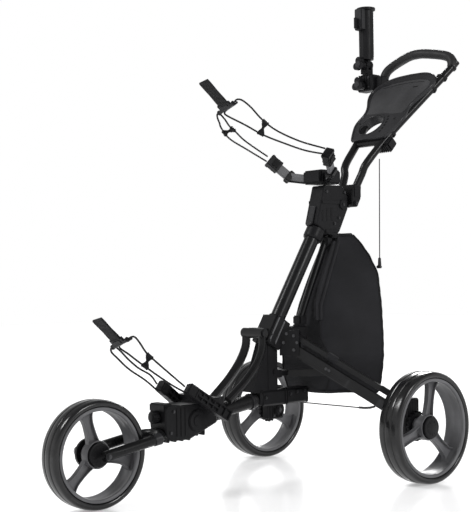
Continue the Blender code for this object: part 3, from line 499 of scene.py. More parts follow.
# ---------------------------------------------------------------- wheels
def wheel(name, centre, radius, width, outer, phase):
    """Glossy two-groove tyre, deep rim with three twin-rib spokes, hub ring and cap."""
    centre = Vector(centre)
    frame = frame_of(centre, Y, X * outer)
    body = name + "_wheel"
    half = width / 2
    seat = radius - 0.016
    side = [(seat, half - 0.004), (seat + 0.003, half - 0.0012), (radius - 0.009, half),
            (radius - 0.005, half - 0.0012), (radius - 0.0022, half - 0.004),
            (radius - 0.0008, half - 0.009), (radius - 0.0001, 0.0135)]
    groove = [(radius, 0.0125), (radius - 0.0012, 0.0118), (radius - 0.0028, 0.0108),
              (radius - 0.0028, 0.0092), (radius - 0.0012, 0.0082), (radius, 0.0075), (radius, 0.002)]
    tyre = Shape().turned(doubled(side + groove, 1, -1), frame, 112)
    tyre.done(name + "_tyre_detail", body, TYRE, name + "_tyre", [name + "_tyre"], 60)

    outside = seat - 0.0004
    deep = half - 0.003
    barrel = [(outside, deep), (outside - 0.0035, deep + 0.0012), (outside - 0.0068, deep - 0.0002),
              (outside - 0.008, deep - 0.0035), (outside - 0.007, deep - 0.0075),
              (outside - 0.0052, deep - 0.01), (outside - 0.0042, 0.004), (outside - 0.0058, 0.0),
              (outside - 0.0042, -0.004), (outside - 0.005, 0.01 - deep), (outside - 0.0072, 0.006 - deep),
              (outside - 0.0072, 0.001 - deep), (outside - 0.0035, -deep - 0.001), (outside, -deep)]
    rim = Shape().turned(barrel, frame, 112)
    rim.turned([(0.0275, -0.003), (0.0275, 0.0148), (0.0285, 0.016), (0.03, 0.016), (0.0312, 0.0145),
                (0.0318, -0.003)], frame, 72)
    rim.turned([(0.0065, -0.0262), (0.0065, 0.013), (0.0272, 0.013), (0.0272, -0.004), (0.0225, -0.012),
                (0.0215, -0.0262)], frame, 60)
    reach = outside - 0.004
    web = doubled([(0.024, -0.0125), (0.045, -0.01), (0.07, -0.0092), (reach - 0.014, -0.0125),
                   (reach, -0.0215)], 1, -1)
    rib = doubled([(0.0014, -0.0055), (0.0014, 0.0062), (0.0008, 0.007)])
    for turn in turned_frames(frame, 3, phase):
        rim.plate(web, -0.0035, 0.0015, turn, 0.0006)
        for edge in (1, -1):
            route = [(0.026, 0.0135, 0.006), (0.045, 0.0108, 0.0055), (0.07, 0.01, 0.0045),
                     (reach - 0.016, 0.0128, 0.0035), (reach - 0.004, 0.019, 0.0025), (reach, 0.023, 0.002)]
            points = [turn @ Vector((x, edge * y, z - 0.003)) for x, y, z in smooth_route(route, 3)]
            rim.sweep(points, rib, up=X * outer)
    rim.done(name + "_rim_detail", body, RIM, name + "_rim", [name + "_rim"], 50)

    dome = [(0.0001, 0.0146), (0.0272, 0.0146), (0.0272, 0.0195), (0.0262, 0.0215), (0.0225, 0.0228),
            (0.0205, 0.0222), (0.019, 0.0226), (0.01, 0.0234), (0.0001, 0.0236)]
    cap = Shape().turned(dome, frame, 72)
    for spin in turned_frames(frame, 12):
        cap.bars(spin, (0.0105, 0.018, 0.0005, 0.0222, 0.0236, 0.0002))
    cap.done(name + "_cap_detail", body, BLACK, name + "_hub_cap", [name + "_hub_cap"], 40)
    gear = Shape().turned([(0.0075, -0.0262), (0.0075, -0.03), (0.031, -0.03), (0.033, -0.0285),
                           (0.033, -0.0215), (0.0225, -0.0215), (0.0222, -0.0262)], frame, 60)
    if name != "front":
        for spin in turned_frames(frame, 20):
            gear.bars(spin, (0.032, 0.0365, 0.0024, -0.0295, -0.022, 0.0006))
    gear.done(name + "_brake_gear", body, BLACK, name + "_rim")


def wheels():
    # centre, radius, width, side that faces outwards and angle of the first spoke
    wheel("left", (0.2955, 0.231, 0.135), 0.135, 0.063, 1, 78)
    wheel("right", (-0.2955, 0.231, 0.135), 0.135, 0.063, -1, 25)
    wheel("front", (0, *FRONT_AXLE), 0.12, 0.058, 1, 105)
    dress(STEEL, "left_axle right_axle front_axle", 0.0005)


# ---------------------------------------------------------------- front arm
def front_arm():
    dress(TUBE, "front_fork")
    dress(BLACK, "crown_block tracking_knob", 0.0015)
    trim = Shape().side_rod((0.0562, *FRONT_AXLE), (0.0597, *FRONT_AXLE), 0.0085, 0.0075, 0.0008)
    trim.side_rod((0.044, -0.378, 0.1437), (0.044, -0.39774, 0.1405), 0.0138, 0.0132, 0.0012)
    trim.done("fork_collars", "front_arm", SATIN, "front_fork")
    bolts = Shape().side_bolts(0.0595, [FRONT_AXLE], 0.0055)
    bolts.side_bolts(0.031, ((-0.33, 0.198), (-0.226, 0.196), (-0.338, 0.15)), 0.004)
    bolts.done("front_arm_bolts", "front_arm", DARK_STEEL, "front_fork")

    disc = (-0.262, 0.172)
    moulding = Shape().side_rod((0.0305, *disc), (0.035, *disc), 0.026, 0.024, 0.0015, 56)
    moulding.side_rod((0.0305, *disc), (0.0365, *disc), 0.014, 0.013, 0.001)
    for y in (-0.322, -0.31, -0.298):
        moulding.side_block((0.0305, y, 0.14), (0.0325, y + 0.0045, 0.205), 0.0008)
    moulding.side_block((0.029, -0.35, 0.206), (0.0335, -0.232, 0.2115), 0.0012)
    for y in (-0.345, -0.325, -0.305, -0.285, -0.262, -0.242):
        moulding.block((-0.028, y, 0.128 if y < -0.27 else 0.136), (0.028, y + 0.006, 0.15), 0.0012)
    moulding.block((-0.03, -0.3555, 0.196), (0.03, -0.33, 0.2165), 0.003)
    moulding.done("crown_moulding", "front_arm", BLACK, "crown_block")

    grip = Shape()
    centre = Vector((0, -0.354, 0.186))
    for i in range(16):
        angle = math.tau * i / 16
        at = centre + Vector((math.cos(angle), 0, math.sin(angle))) * 0.0132
        grip.rod(at - Y * 0.0015, at - Y * 0.0155, 0.0019, None, 0.0006, 12)
    grip.turned([(0.0001, 0.0165), (0.0085, 0.0165), (0.0095, 0.018), (0.008, 0.0188), (0.0001, 0.0188)],
                frame_of(centre, X, -Y), 40)
    grip.done("tracking_knob_grip", "tracking_knob", BLACK, "tracking_knob")


def lower_bracket():
    """Base plate and the two latticed arms with their pads."""
    shell = Shape().block((-0.074, -0.25, 0.2145), (0.074, -0.222, 0.2262), 0.0025)
    shell.block((-0.04, -0.256, 0.205), (0.04, -0.214, 0.2165), 0.003)
    pads = Shape()
    for side in (1, -1):
        start = mirrored(side, (0.075, -0.208, 0.1745))
        end = mirrored(side, (0.0525, -0.3086, 0.2443))
        frame = frame_of(start, end - start, (0, 0.57, 0.82))
        length = (end - start).length
        shell.bars(frame, (0.0, length, 0.0058, -0.005, 0.019, 0.0015))
        for height in (-0.0062, 0.0166):
            shell.bars(frame, (0.0, length, 0.0112, height, height + 0.0038, 0.0012))
        for rib in range(7):
            at = 0.0165 * rib
            shell.bars(frame, (at, at + 0.0042, 0.011, -0.0045, 0.0185, 0.001))
        shell.bars(frame, (0.034, 0.098, 0.0112, 0.0045, 0.0088, 0.001))
        pads.bars(frame, (length - 0.022, length + 0.003, 0.0118, -0.0068, 0.0212, 0.003))
    shell.done("lower_bracket_shell", "front_arm", BLACK, "lower_bag_bracket", ["lower_bag_bracket"])
    pads.done("lower_bracket_pads", "front_arm", PAD_AND_SHADE, "lower_bag_bracket")


# ---------------------------------------------------------------- centre frame
def centre_frame():
    dress(TUBE, "main_post front_tube", 0.0004)
    dress(BLACK, "post_hub", 0.0012)
    rails = Shape()
    channel = doubled([(0.007, -0.0095), (0.0095, -0.006), (0.0095, 0.006), (0.007, 0.0095),
                       (0.003, 0.01), (0.0022, 0.008)])
    for side in (1, -1):
        points = [mirrored(side, p) for p in ((0.029, -0.056, 0.364), (0.031, -0.0585, 0.33),
                                              (0.033, -0.078, 0.292), (0.032, -0.115, 0.252),
                                              (0.0295, -0.166, 0.211))]
        rails.sweep(smooth_route(points, 10), channel)
    rails.rod((-0.0415, -0.0562, 0.3655), (0.0415, -0.0562, 0.3655), 0.0125, None, 0.004)
    rails.block((-0.02, -0.062, 0.353), (0.02, -0.041, 0.3785), 0.003)
    rails.done("guard_rail_detail", "frame", BAR, "guard_rails", ["guard_rails"], 45)

    trim = Shape()
    for y, z, radius in ((-0.071, 0.1985, 0.0205), (-0.064, 0.1995, 0.019), (-0.16, 0.1858, 0.0192),
                         (-0.172, 0.1841, 0.0212), (-0.184, 0.1824, 0.0212)):
        at = Vector((0, y, z))
        trim.rod(at, at + Vector((0, -0.006, -0.00085)), radius, None, 0.0012, 48)
    for y in (-0.052, 0.022, 0.03, 0.1):
        trim.block((-0.0232, y, 0.185), (0.0232, y + 0.005, 0.225), 0.0045)
    trim.done("front_tube_collars", "frame", SATIN, "front_tube")

    ribs = Shape()
    post_foot = POST_POINT - POST_DIRECTION * 0.131
    collar = frame_of(post_foot, POST_DIRECTION, POST_FRONT)
    for side in (1, -1):
        for height in (0.0165, -0.0035):
            ribs.block((0.006, side * 0.0265, height - 0.0022), (0.072, side * 0.029, height + 0.0022), 0.001,
                       collar)
    ribs.done("hub_bright_ribs", "frame", GREY, "post_hub")
    body = Shape()
    for side in (1, -1):
        body.block((0.0, side * 0.0262, -0.024), (0.076, side * 0.0278, 0.024), 0.0008, collar)
    body.side_block((0.014, -0.03, 0.222), (0.019, 0.004, 0.345), 0.0015)
    body.side_rod((0.018, -0.004, 0.2676), (0.0215, -0.004, 0.2676), 0.0085, None, 0.001)
    body.block((-0.029, -0.0165, 0.332), (0.029, -0.011, 0.344), 0.001)
    for z in (0.24, 0.262, 0.284):
        body.block((-0.0175, -0.07 + (z - 0.24) * 0.35, z), (0.0175, -0.02, z + 0.0045), 0.001)
    body.turned([(0.0193, 0.072), (0.0193, 0.08), (0.0222, 0.0795), (0.0235, 0.076), (0.0235, 0.07)],
                frame_of(post_foot, X, POST_DIRECTION), 56)
    body.done("hub_moulding", "frame", BLACK, "post_hub")

    bolts = Shape().side_bolts(0.022, ((-0.0397, 0.2064), (0.0429, 0.21), (0.065, 0.214),
                                       (0.09, 0.216)), 0.0045)
    bolts.side_bolts(0.0265, ((-0.0219, 0.3614), (-0.029, 0.348), (0.03, 0.345)), 0.004)
    for side in (1, -1):
        top, _, front = leg_line(side)
        outward = mirrored(side, (0.8129, 0.5824, 0))
        for run, rise in ((0.0, 0.0), (0.0, LINK_RISE), (-0.026, 0.018), (-0.018, 0.04), (0.008, 0.018)):
            bolts.bolt(top + outward * run + Z * rise + front * 0.0125, front, 0.0042)
    bolts.done("hub_bolts", "frame", DARK_STEEL, "post_hub")


def legs():
    dress(BAR, "left_leg right_leg left_link right_link left_spreader right_spreader", 0.001)
    dress(BLACK, "left_axle_bracket right_axle_bracket", 0.002)
    dress(BLACK, "spreader_slider brake_pedal brake_arm", 0.0008)
    for side, name in SIDES:
        top, end, front = leg_line(side)
        leg = frame_of(top, end - top, front)
        length = (end - top).length
        below = -1 if leg.col[1].z > 0 else 1
        sleeve = Shape()
        low, high = sorted((below * 0.0125, below * 0.015))
        sleeve.block((0.03, low, -0.007), (0.15, high, 0.007), 0.0008, leg)
        low, high = sorted((below * 0.0138, below * -0.0084))
        sleeve.block((0.15, low, -0.009), (0.158, high, 0.009), 0.0012, leg)
        sleeve.block((length - 0.05, low, -0.0084), (length - 0.022, high, 0.0084), 0.0006, leg)
        sleeve.done(name + "_leg_sleeves", name + "_leg", SATIN, name + "_leg")
        rivets = Shape()
        for along in (0.092, 0.1):
            rivets.bolt(leg @ Vector((along, below * -0.001, 0.0082)), front, 0.0042, 0.0022)
        for along in (0.004, length - 0.004):
            rivets.bolt(leg @ Vector((along, 0, 0.0082)), front, 0.005, 0.0028)
        rivets.done(name + "_leg_rivets", name + "_leg", DARK_STEEL, name + "_leg")
        link = frame_of(top + Z * LINK_RISE, end - top, front)
        low, high = sorted((below * 0.0068, below * -0.0078))
        fitting = Shape().block((length - 0.042, low, -0.0063), (length - 0.014, high, 0.0063), 0.0006, link)
        fitting.block((-0.004, low, -0.0063), (0.022, high, 0.0063), 0.0006, link)
        fitting.done(name + "_link_fittings", name + "_link", BLACK, name + "_link")

        shell = Shape()
        x_low, x_high = sorted((side * 0.229, side * 0.2625))
        for y in (0.207, 0.216, 0.225, 0.234, 0.243):
            shell.block((x_low, y, 0.114), (x_high, y + 0.0035, 0.198), 0.001)
        shell.block((x_low - 0.0005, 0.202, 0.15), (x_high + 0.0005, 0.253, 0.158), 0.002)
        hub = Vector((side * 0.23, 0.231, 0.135))
        shell.rod(hub, hub + X * side * 0.032, 0.0225, 0.021, 0.0015, 48)
        shell.rod(hub - X * side * 0.004, hub, 0.0105, 0.012, 0.0015, 40)
        shell.done(name + "_bracket_moulding", name + "_axle_bracket", BLACK, name + "_axle_bracket")
        screws = Shape()
        for y, z in ((0.212, 0.19), (0.243, 0.19), (0.212, 0.12), (0.243, 0.12)):
            screws.bolt((side * 0.2292, y, z), -X * side, 0.0036)
        screws.bolt(hub - X * side * 0.004, -X * side, 0.006, 0.004)
        for rise in (0.0, LINK_RISE):
            screws.bolt(end + Z * rise + front * 0.0124, front, 0.005)
        screws.done(name + "_bracket_screws", name + "_axle_bracket", DARK_STEEL, name + "_axle_bracket")


# ---------------------------------------------------------------- upper housing and bag bracket
def upper_housing():
    dress(BLACK, "upper_housing handle_hinge", 0.0018)
    dress(SATIN, "handle_latch", 0.0008)
    # thin near-black blocks on the housing's sides: painted shade standing for the depth of its slots
    slots = Shape()
    for y, z, height in ((0.16, 0.66, 0.03), (0.176, 0.662, 0.034), (0.192, 0.664, 0.034)):
        slots.side_block((0.023, y, z - height / 2), (0.024, y + 0.007, z + height / 2), 0.0004)
    shell = Shape().side_block((0.023, 0.16, 0.69), (0.0256, 0.25, 0.7), 0.0012)
    shell.side_block((0.023, 0.172, 0.616), (0.0252, 0.216, 0.625), 0.0012)
    shell.side_rod((0.023, 0.236, 0.69), (0.0272, 0.236, 0.69), 0.0135, 0.0125, 0.0012, 48)
    shell.side_block((0.01, 0.196, 0.603), (0.0225, 0.222, 0.614), 0.003)
    collar = frame_of(POST_POINT + POST_DIRECTION * 0.19, X, POST_DIRECTION)
    shell.turned([(0.0193, -0.01), (0.0193, 0.02), (0.0245, 0.02), (0.0245, -0.004), (0.0232, -0.008),
                  (0.0215, -0.01)], collar, 56)
    shell.done("housing_moulding", "frame", BLACK, "upper_housing")
    slots.done("housing_slot_painted_shade", "frame", PAD_AND_SHADE, "upper_housing")
    bolts = Shape().side_bolts(0.027, [(0.236, 0.69)], 0.0044)
    bolts.side_bolts(0.0235, ((0.243, 0.722), (0.178, 0.722), (0.205, 0.64), (0.222, 0.655)), 0.0044)
    bolts.done("housing_bolts", "frame", DARK_STEEL, "upper_housing")
    hinge = Shape().side_rod((0.0355, *HANDLE_HINGE), (0.039, *HANDLE_HINGE), 0.009, 0.0082, 0.001)
    hinge.side_block((0.0355, 0.268, 0.71), (0.0375, 0.292, 0.738), 0.001)
    hinge.done("hinge_bosses", "handle", BLACK, "handle_hinge")
    pins = Shape().side_bolts(0.039, [HANDLE_HINGE], 0.0055)
    pins.done("hinge_bolts", "handle", DARK_STEEL, "handle_hinge")


def upper_bracket():
    """Black end blocks with a pad, joined by light flat arms, on a boxed base."""
    shell = Shape().block((-0.034, 0.15, 0.742), (0.034, 0.222, 0.778), 0.004)
    shell.block((-0.03, 0.146, 0.746), (0.03, 0.152, 0.774), 0.002)
    arms = Shape()
    pads = Shape()
    for side in (1, -1):
        root = mirrored(side, (0.022, 0.176, 0.756))
        elbow = mirrored(side, (0.08, 0.138, 0.766))
        tip = mirrored(side, (0.109, 0.096, 0.809))
        arm = frame_of(root, elbow - root, Z)
        reach = (elbow - root).length
        arms.bars(arm, (0.0, reach, 0.0035, -0.0105, 0.0105, 0.0012))
        shell.bars(arm, (0.0, reach + 0.006, 0.006, -0.014, -0.0105, 0.001),
                   (0.0, 0.022, 0.006, 0.0105, 0.014, 0.001),
                   (0.016, 0.0225, 0.0075, -0.0135, 0.0135, 0.001))
        end = frame_of(elbow, tip - elbow, (0, 0.6, 0.8))
        length = (tip - elbow).length
        arms.bars(end, (-0.008, length - 0.03, 0.0045, -0.0105, 0.015, 0.0012))
        shell.bars(end, (-0.0105, 0.004, 0.01, -0.014, 0.0185, 0.0018),
                   (length - 0.036, length - 0.002, 0.01, -0.013, 0.019, 0.0018),
                   (length - 0.01, length, 0.0112, -0.014, 0.02, 0.0018))
        for at in (length - 0.035, length - 0.025):
            shell.bars(end, (at, at + 0.004, 0.011, -0.0125, 0.0188, 0.0008))
        pads.block((length - 0.03, -0.012, -0.008), (length - 0.012, -0.0095, 0.014), 0.0012, end)
        pads.block((length - 0.03, 0.0095, -0.008), (length - 0.012, 0.012, 0.014), 0.0012, end)
    shell.done("upper_bracket_shell", "frame", BLACK, "upper_bag_bracket", ["upper_bag_bracket"])
    arms.done("upper_bracket_arms", "frame", GREY, "upper_bag_bracket")
    pads.done("upper_bracket_pads", "frame", PAD_AND_SHADE, "upper_bag_bracket")


# ---------------------------------------------------------------- handle
# right half of the handle tube: across, along and out of the handle's plane
HANDLE_FOOT = [(0.024, 0.2795, 0.7265), (0.031, 0.302, 0.772)]
HANDLE_LEG = [(0.04, 0.026, 0.0), (0.0575, 0.143, 0.0)]
HANDLE_BOW = [(0.1245, 0.394, 0.0), (0.1235, 0.404, 0.006), (0.1175, 0.4145, 0.0115),
              (0.107, 0.4225, 0.0155), (0.0925, 0.4275, 0.0195), (0.074, 0.4295, 0.0248),
              (0.05, 0.43, 0.0315), (0.025, 0.4302, 0.0375), (0.0, 0.4303, 0.0395)]


def whole(half):
    """The route through the right half, over its last point and back down the left."""
    half = [Vector(p) for p in half]
    return half + [mirrored(-1, p) for p in reversed(half[:-1])]


def handle():
    route = whole(HANDLE_FOOT + [handle_point(*p) for p in HANDLE_LEG + HANDLE_BOW])
    tube = Shape().tube(smooth_route(route, 4), HANDLE_TUBE_RADIUS, 28)
    tube.rod(handle_point(-0.052, 0.103), handle_point(0.052, 0.103), 0.008, None, 0.001)
    tube.done("handle_tube_detail", "handle", TUBE, "handle_frame", ["handle_frame"], 60)

    bow = smooth_route(whole([handle_point(*p) for p in HANDLE_BOW]), 8)
    count = len(bow)
    sections = []
    for i, point in enumerate(bow):
        end = min(i, count - 1 - i)
        swell = GRIP_RADIUS - 0.001 * max(0, 3 - end) / 3
        scallop = 0.0011 * math.cos(point.x * 300) if point.x > 0 else 0.0005 * math.cos(point.x * 900)
        ring = []
        for a, b in circle(1.0, 36):
            under = max(0.0, -b)
            ring.append((a * swell, b * swell + under * (scallop + 0.0006)))
        sections.append(ring)
    Shape().sweep(bow, sections, up=HANDLE_OUT).done("grip_detail", "handle", FOAM, "handle_grip",
                                                     ["handle_grip"], 60)
    cuffs = Shape()
    for side in (1, -1):
        low = handle_point(side * 0.1238, 0.3905)
        high = handle_point(side * 0.1246, 0.3965)
        cuffs.rod(low, high, 0.0137, 0.0139, 0.001, 48)
    middle = handle_point(0.0006, 0.4303, 0.0395)
    cuffs.rod(middle, middle - X * 0.0012, 0.0135, None, 0.0003, 48)
    cuffs.done("grip_cuffs", "handle", SATIN, "handle_grip")


# right half of the console's outline: across and along
CONSOLE_HALF = [(0.062, 0.108), (0.076, 0.138), (0.087, 0.168), (0.087, 0.19), (0.0825, 0.21),
                (0.084, 0.232), (0.094, 0.256), (0.107, 0.279), (0.116, 0.306), (0.11, 0.332),
                (0.092, 0.351), (0.056, 0.3655), (0.0, 0.372)]


def console():
    dress(SATIN, "console", 0.0012)
    dress(LID, "console_lid", 0.0011)
    surface = frame_of(handle_point(0, 0, CONSOLE_TOP), X, HANDLE_OUT)
    corners = [(x - 0.0022, s, 0) for x, s in CONSOLE_HALF[:-1]] + [(0, 0.3695, 0)]
    edge = smooth_route(corners, 4)
    loop = edge + [Vector((-p.x, p.y, 0)) for p in reversed(edge[:-1])]
    bead = [(-0.0026, -0.0062), (0.0026, -0.0062), (0.0032, -0.0045), (0.0032, 0.0004), (0.002, 0.002),
            (-0.0018, 0.002), (-0.0028, 0.0004), (-0.003, -0.003)]
    lip = Shape().sweep([surface @ p for p in loop], bead, up=HANDLE_OUT, closed=True)
    ring = frame_of(handle_point(-0.022, 0.1645, CONSOLE_TOP), X, HANDLE_OUT)
    lip.turned([(0.0386, -0.004), (0.0386, 0.0006), (0.0396, 0.0016), (0.041, 0.0016), (0.0424, 0.0004),
                (0.0426, -0.004)], ring, 72)
    lip.done("console_rim", "handle", SATIN, "console", (), 50)

    under = Shape()
    well = [(0.0386, -0.004), (0.0386, -0.0262), (0.0396, -0.0275), (0.0422, -0.0275), (0.0428, -0.0262),
            (0.0428, -0.004)]
    under.turned(well, ring, 64)
    for side in (1, -1):
        for s in (0.128, 0.3, 0.345):
            x = 0.0575 + (s - 0.143) * 0.2626
            under.block((side * (x - 0.0132), s, -0.028), (side * (x + 0.0132), s + 0.016, -0.006), 0.003,
                        surface)
    under.block((-0.056, 0.1045, -0.015), (0.056, 0.1105, -0.0008), 0.002, surface)
    under.block((0.024, 0.086, -0.04), (0.076, 0.119, -0.012), 0.004, surface)
    for rib in range(7):
        at = 0.028 + 0.007 * rib
        under.block((at, 0.084, -0.039), (at + 0.0035, 0.088, -0.013), 0.0008, surface)
    under.done("console_underside", "handle", BLACK, "console")

    studs = Shape()
    for x, s in ((0.055, 0.178), (-0.07, 0.176)):
        studs.bolt(surface @ Vector((x, s, 0)), HANDLE_OUT, 0.0036, 0.0018)
    studs.done("console_studs", "handle", DARK_STEEL, "console")
    # a thin dark rim round each tee hole, and a dark disc across its mouth that is painted shade for the
    # hole's depth
    holes = Shape()
    for x, s in ((0.0245, 0.192), (0.0285, 0.18), (0.031, 0.168), (0.032, 0.156), (0.0315, 0.144),
                 (0.029, 0.132)):
        holes.turned([(0.0024, 0.0), (0.0036, 0.0), (0.0036, 0.0005), (0.0024, 0.0005)],
                     surface @ Matrix.Translation((x, s, 0)), 20)
        holes.rod(surface @ Vector((x, s, -0.001)), surface @ Vector((x, s, 0.0002)), 0.0024, None, 0.0, 20)
    holes.done("tee_holes_painted_shade", "handle", PAD_AND_SHADE, "console")
    marks = Shape()
    marks.block((0.044, 0.308, -0.0004), (0.062, 0.3115, 0.0003), 0.0002, surface)
    seam = [surface @ Vector((0.025 * i, 0.333 - (0.025 * i) ** 2 * 1.2, 0.0)) for i in range(-3, 4)]
    marks.sweep(smooth_route(seam, 4), doubled([(0.0007, -0.0006), (0.0007, 0.0004)]), up=HANDLE_OUT)
    marks.done("lid_marks", "console_lid", PAD_AND_SHADE, "console_lid")


def umbrella_holder():
    dress(BLACK, "umbrella_clamp umbrella_knuckle umbrella_barrel", 0.0015)
    dress(BLACK, "clamp_knob knuckle_knob umbrella_wing_screw", 0.002)
    shell = Shape()
    axis = Vector((-0.165, 0.538, 0))
    frame = frame_of(axis, X, Z)
    shell.turned([(0.0178, 1.15), (0.0178, 1.2846), (0.0262, 1.285), (0.0272, 1.2835), (0.0268, 1.2785),
                  (0.0215, 1.2755), (0.0213, 1.14), (0.02, 1.134), (0.016, 1.133), (0.016, 1.15)],
                 frame, 72)
    for spin in turned_frames(frame, 8, 20):
        shell.bars(spin, (0.02, 0.0222, 0.0012, 1.14, 1.27, 0.0006))
    shell.done("umbrella_barrel_shell", "umbrella_barrel", BLACK, "umbrella_barrel")
    box = Shape().block((-0.1795, 0.503, 1.218), (-0.1505, 0.52, 1.28), 0.0025)
    box.block((-0.177, 0.5015, 1.226), (-0.153, 0.5035, 1.246), 0.001)
    box.done("umbrella_boss", "umbrella_barrel", SATIN, "umbrella_barrel")
    clamp = Shape()
    for rib in range(5):
        x = -0.176 + 0.01 * rib
        clamp.block((x, 0.5125, 1.04), (x + 0.0035, 0.559, 1.0865), 0.001)
    clamp.rod((-0.165, 0.538, 1.0845), (-0.165, 0.538, 1.09), 0.0165, 0.015, 0.0015, 48)
    clamp.done("umbrella_clamp_ribs", "handle", BLACK, "umbrella_clamp")
    bolts = Shape()
    bolts.bolt((-0.135, 0.5135, 1.048), -Y, 0.0038)
    bolts.bolt((-0.135, 0.5135, 1.076), -Y, 0.0038)
    bolts.done("umbrella_clamp_bolts", "handle", DARK_STEEL, "umbrella_clamp")
    for name, z, x, y in (("clamp_knob", 1.057, -0.16, 0.49), ("knuckle_knob", 1.118, -0.165, 0.501)):
        cap = Shape().turned([(0.0001, -0.001), (0.009, -0.001), (0.01, 0.0006), (0.0085, 0.0024),
                              (0.0001, 0.0032)], frame_of((x, y, z), X, -Y), 40)
        cap.done(name + "_cap", name, SATIN, name)


# ---------------------------------------------------------------- straps and cords
LOWER_LEFT = [(0.054, -0.3145, 0.256), (0.044, -0.352, 0.289), (0.037, -0.388, 0.32),
              (0.033, -0.406, 0.337), (0.031, -0.424, 0.362), (0.0305, -0.437, 0.374),
              (0.03, -0.4495, 0.3715), (0.0285, -0.442, 0.37), (0.0195, -0.4415, 0.3667),
              (-0.006, -0.4455, 0.357), (-0.015, -0.446, 0.351), (-0.0145, -0.44, 0.344),
              (-0.003, -0.43, 0.334), (0.009, -0.408, 0.314), (0.024, -0.375, 0.287), (0.04, -0.34, 0.26),
              (0.054, -0.3145, 0.243)]
LOWER_RIGHT = [(-0.054, -0.3145, 0.256), (-0.037, -0.345, 0.279), (-0.029, -0.384, 0.298),
               (-0.023, -0.416, 0.32), (-0.025, -0.434, 0.338), (-0.0295, -0.446, 0.349),
               (-0.0298, -0.457, 0.348), (-0.0295, -0.457, 0.338), (-0.0305, -0.44, 0.323),
               (-0.034, -0.42, 0.307), (-0.038, -0.398, 0.292), (-0.045, -0.355, 0.268),
               (-0.054, -0.3145, 0.241)]
UPPER_LEFT = [(0.1075, 0.0915, 0.82), (0.085, 0.027, 0.836), (0.064, -0.03, 0.86), (0.05, -0.065, 0.886),
              (0.038, -0.09, 0.915), (0.033, -0.112, 0.93), (0.0305, -0.126, 0.932), (0.03, -0.134, 0.9265),
              (0.0285, -0.126, 0.925), (0.0194, -0.125, 0.9217), (-0.0066, -0.1277, 0.9117),
              (-0.0155, -0.1285, 0.9055), (-0.0145, -0.122, 0.898), (0.014, -0.089, 0.875),
              (0.036, -0.05, 0.851), (0.059, 0.001, 0.831), (0.081, 0.048, 0.815), (0.1055, 0.087, 0.8065)]
UPPER_RIGHT = [(-0.1075, 0.0915, 0.82), (-0.075, 0.014, 0.837), (-0.058, -0.034, 0.851),
               (-0.042, -0.073, 0.866), (-0.032, -0.101, 0.877), (-0.027, -0.119, 0.891),
               (-0.0298, -0.132, 0.903), (-0.0298, -0.14, 0.902), (-0.0295, -0.14, 0.893),
               (-0.031, -0.133, 0.882), (-0.038, -0.121, 0.87), (-0.058, -0.078, 0.849),
               (-0.08, -0.002, 0.829), (-0.1055, 0.086, 0.8065)]


def cord(name, points, radius, body, node, steps=6, onto=None):
    """A round free cord through the points.

    The far end of one with an onto lies at that body, but the cord is given no body and stays where it is in
    the world.
    """
    route = smooth_route(points, steps)
    piece = Shape().tube(route, radius, 14).done(name, None if onto else body, CORD, node, [node], 60)
    if onto:
        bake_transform(piece)


def clip(name, points, first_near, second_near, body):
    """Two grooved ends that hold the passes of a cord, with a waisted plate between."""
    route = smooth_route(points, 8)

    def nearest(target):
        index = min(range(1, len(route) - 1), key=lambda i: (route[i] - Vector(target)).length)
        return route[index], (route[index + 1] - route[index - 1]).normalized()

    first, first_run = nearest(first_near)
    second, second_run = nearest(second_near)
    across = (first - second).normalized()
    reach = (first - second).length / 2
    frame = frame_of((first + second) / 2, across, across.cross(first_run - second_run))
    waist = doubled([(0.0025, -0.0035), (reach - 0.006, -0.0075), (reach, -0.0075), (reach, 0.0075),
                     (reach - 0.006, 0.0075), (0.0025, 0.0035)])
    shape = Shape().plate(waist, -0.0022, 0.0022, frame, 0.0008)
    for point, run in ((first, first_run), (second, second_run)):
        shape.rod(point - run * 0.0085, point + run * 0.0085, 0.0043, None, 0.001, 28)
        for at in (-0.0085, 0.0055):
            shape.rod(point + run * at, point + run * (at + 0.003), 0.005, None, 0.0008, 28)
    shape.done(name + "_detail", body, BLACK, name, [name])


def strap(name, body, bar_ends, tab_ends):
    """Moulded cross bar with end bosses, and a folded, box-stitched webbing pull tab."""
    left, right = (Vector(p) for p in bar_ends)
    along = (right - left).normalized()
    bar = Shape().rod(left, right, 0.005, None, 0.001)
    start, end = (Vector(p) for p in tab_ends)
    frame = frame_of(start, end - start, along.cross(end - start))
    length = (end - start).length
    for at in (left, right):
        bar.rod(at - along * 0.001, at + along * 0.004 * (1 if at == left else -1), 0.0062, None, 0.0008)
    bar.bars(frame, (-0.012, 0.006, 0.0185, -0.004, 0.004, 0.002),
             (-0.01, 0.003, 0.012, -0.0058, 0.0058, 0.002))
    bar.done(name + "_bar_detail", body, SATIN, name + "_strap_bar", [name + "_strap_bar"])
    tab = Shape()
    webbing_section = doubled([(0.0124, -0.0011), (0.013, -0.0008), (0.013, 0.0008), (0.0124, 0.0011)])
    for side in (1, -1):
        points = []
        for i in range(13):
            t = i / 12
            lift = side * (0.0019 + 0.0004 * math.sin(t * math.pi * 3))
            points.append(frame @ Vector((t * length, 0, lift)))
        tab.sweep(points, webbing_section, up=frame.col[2].to_3d())
    fold = frame @ Matrix.Translation((length - 0.0016, 0, 0))
    tab.rod(fold @ Vector((0, -0.0128, 0)), fold @ Vector((0, 0.0128, 0)), 0.003, None, 0.0006, 24)
    tab.done(name + "_tab_detail", body, WEBBING, name + "_strap_tab", [name + "_strap_tab"], 50)
    thread = Shape()
    for x in (0.008, length - 0.01):
        for stitch in range(8):
            y = -0.0105 + 0.003 * stitch
            for side in (1, -1):
                thread.block((x, y - 0.0009, side * 0.0029), (x + 0.0008, y + 0.0009, side * 0.0034), 0.0002,
                             frame)
    thread.done(name + "_tab_stitches", body, PAD_AND_SHADE, name + "_strap_tab")


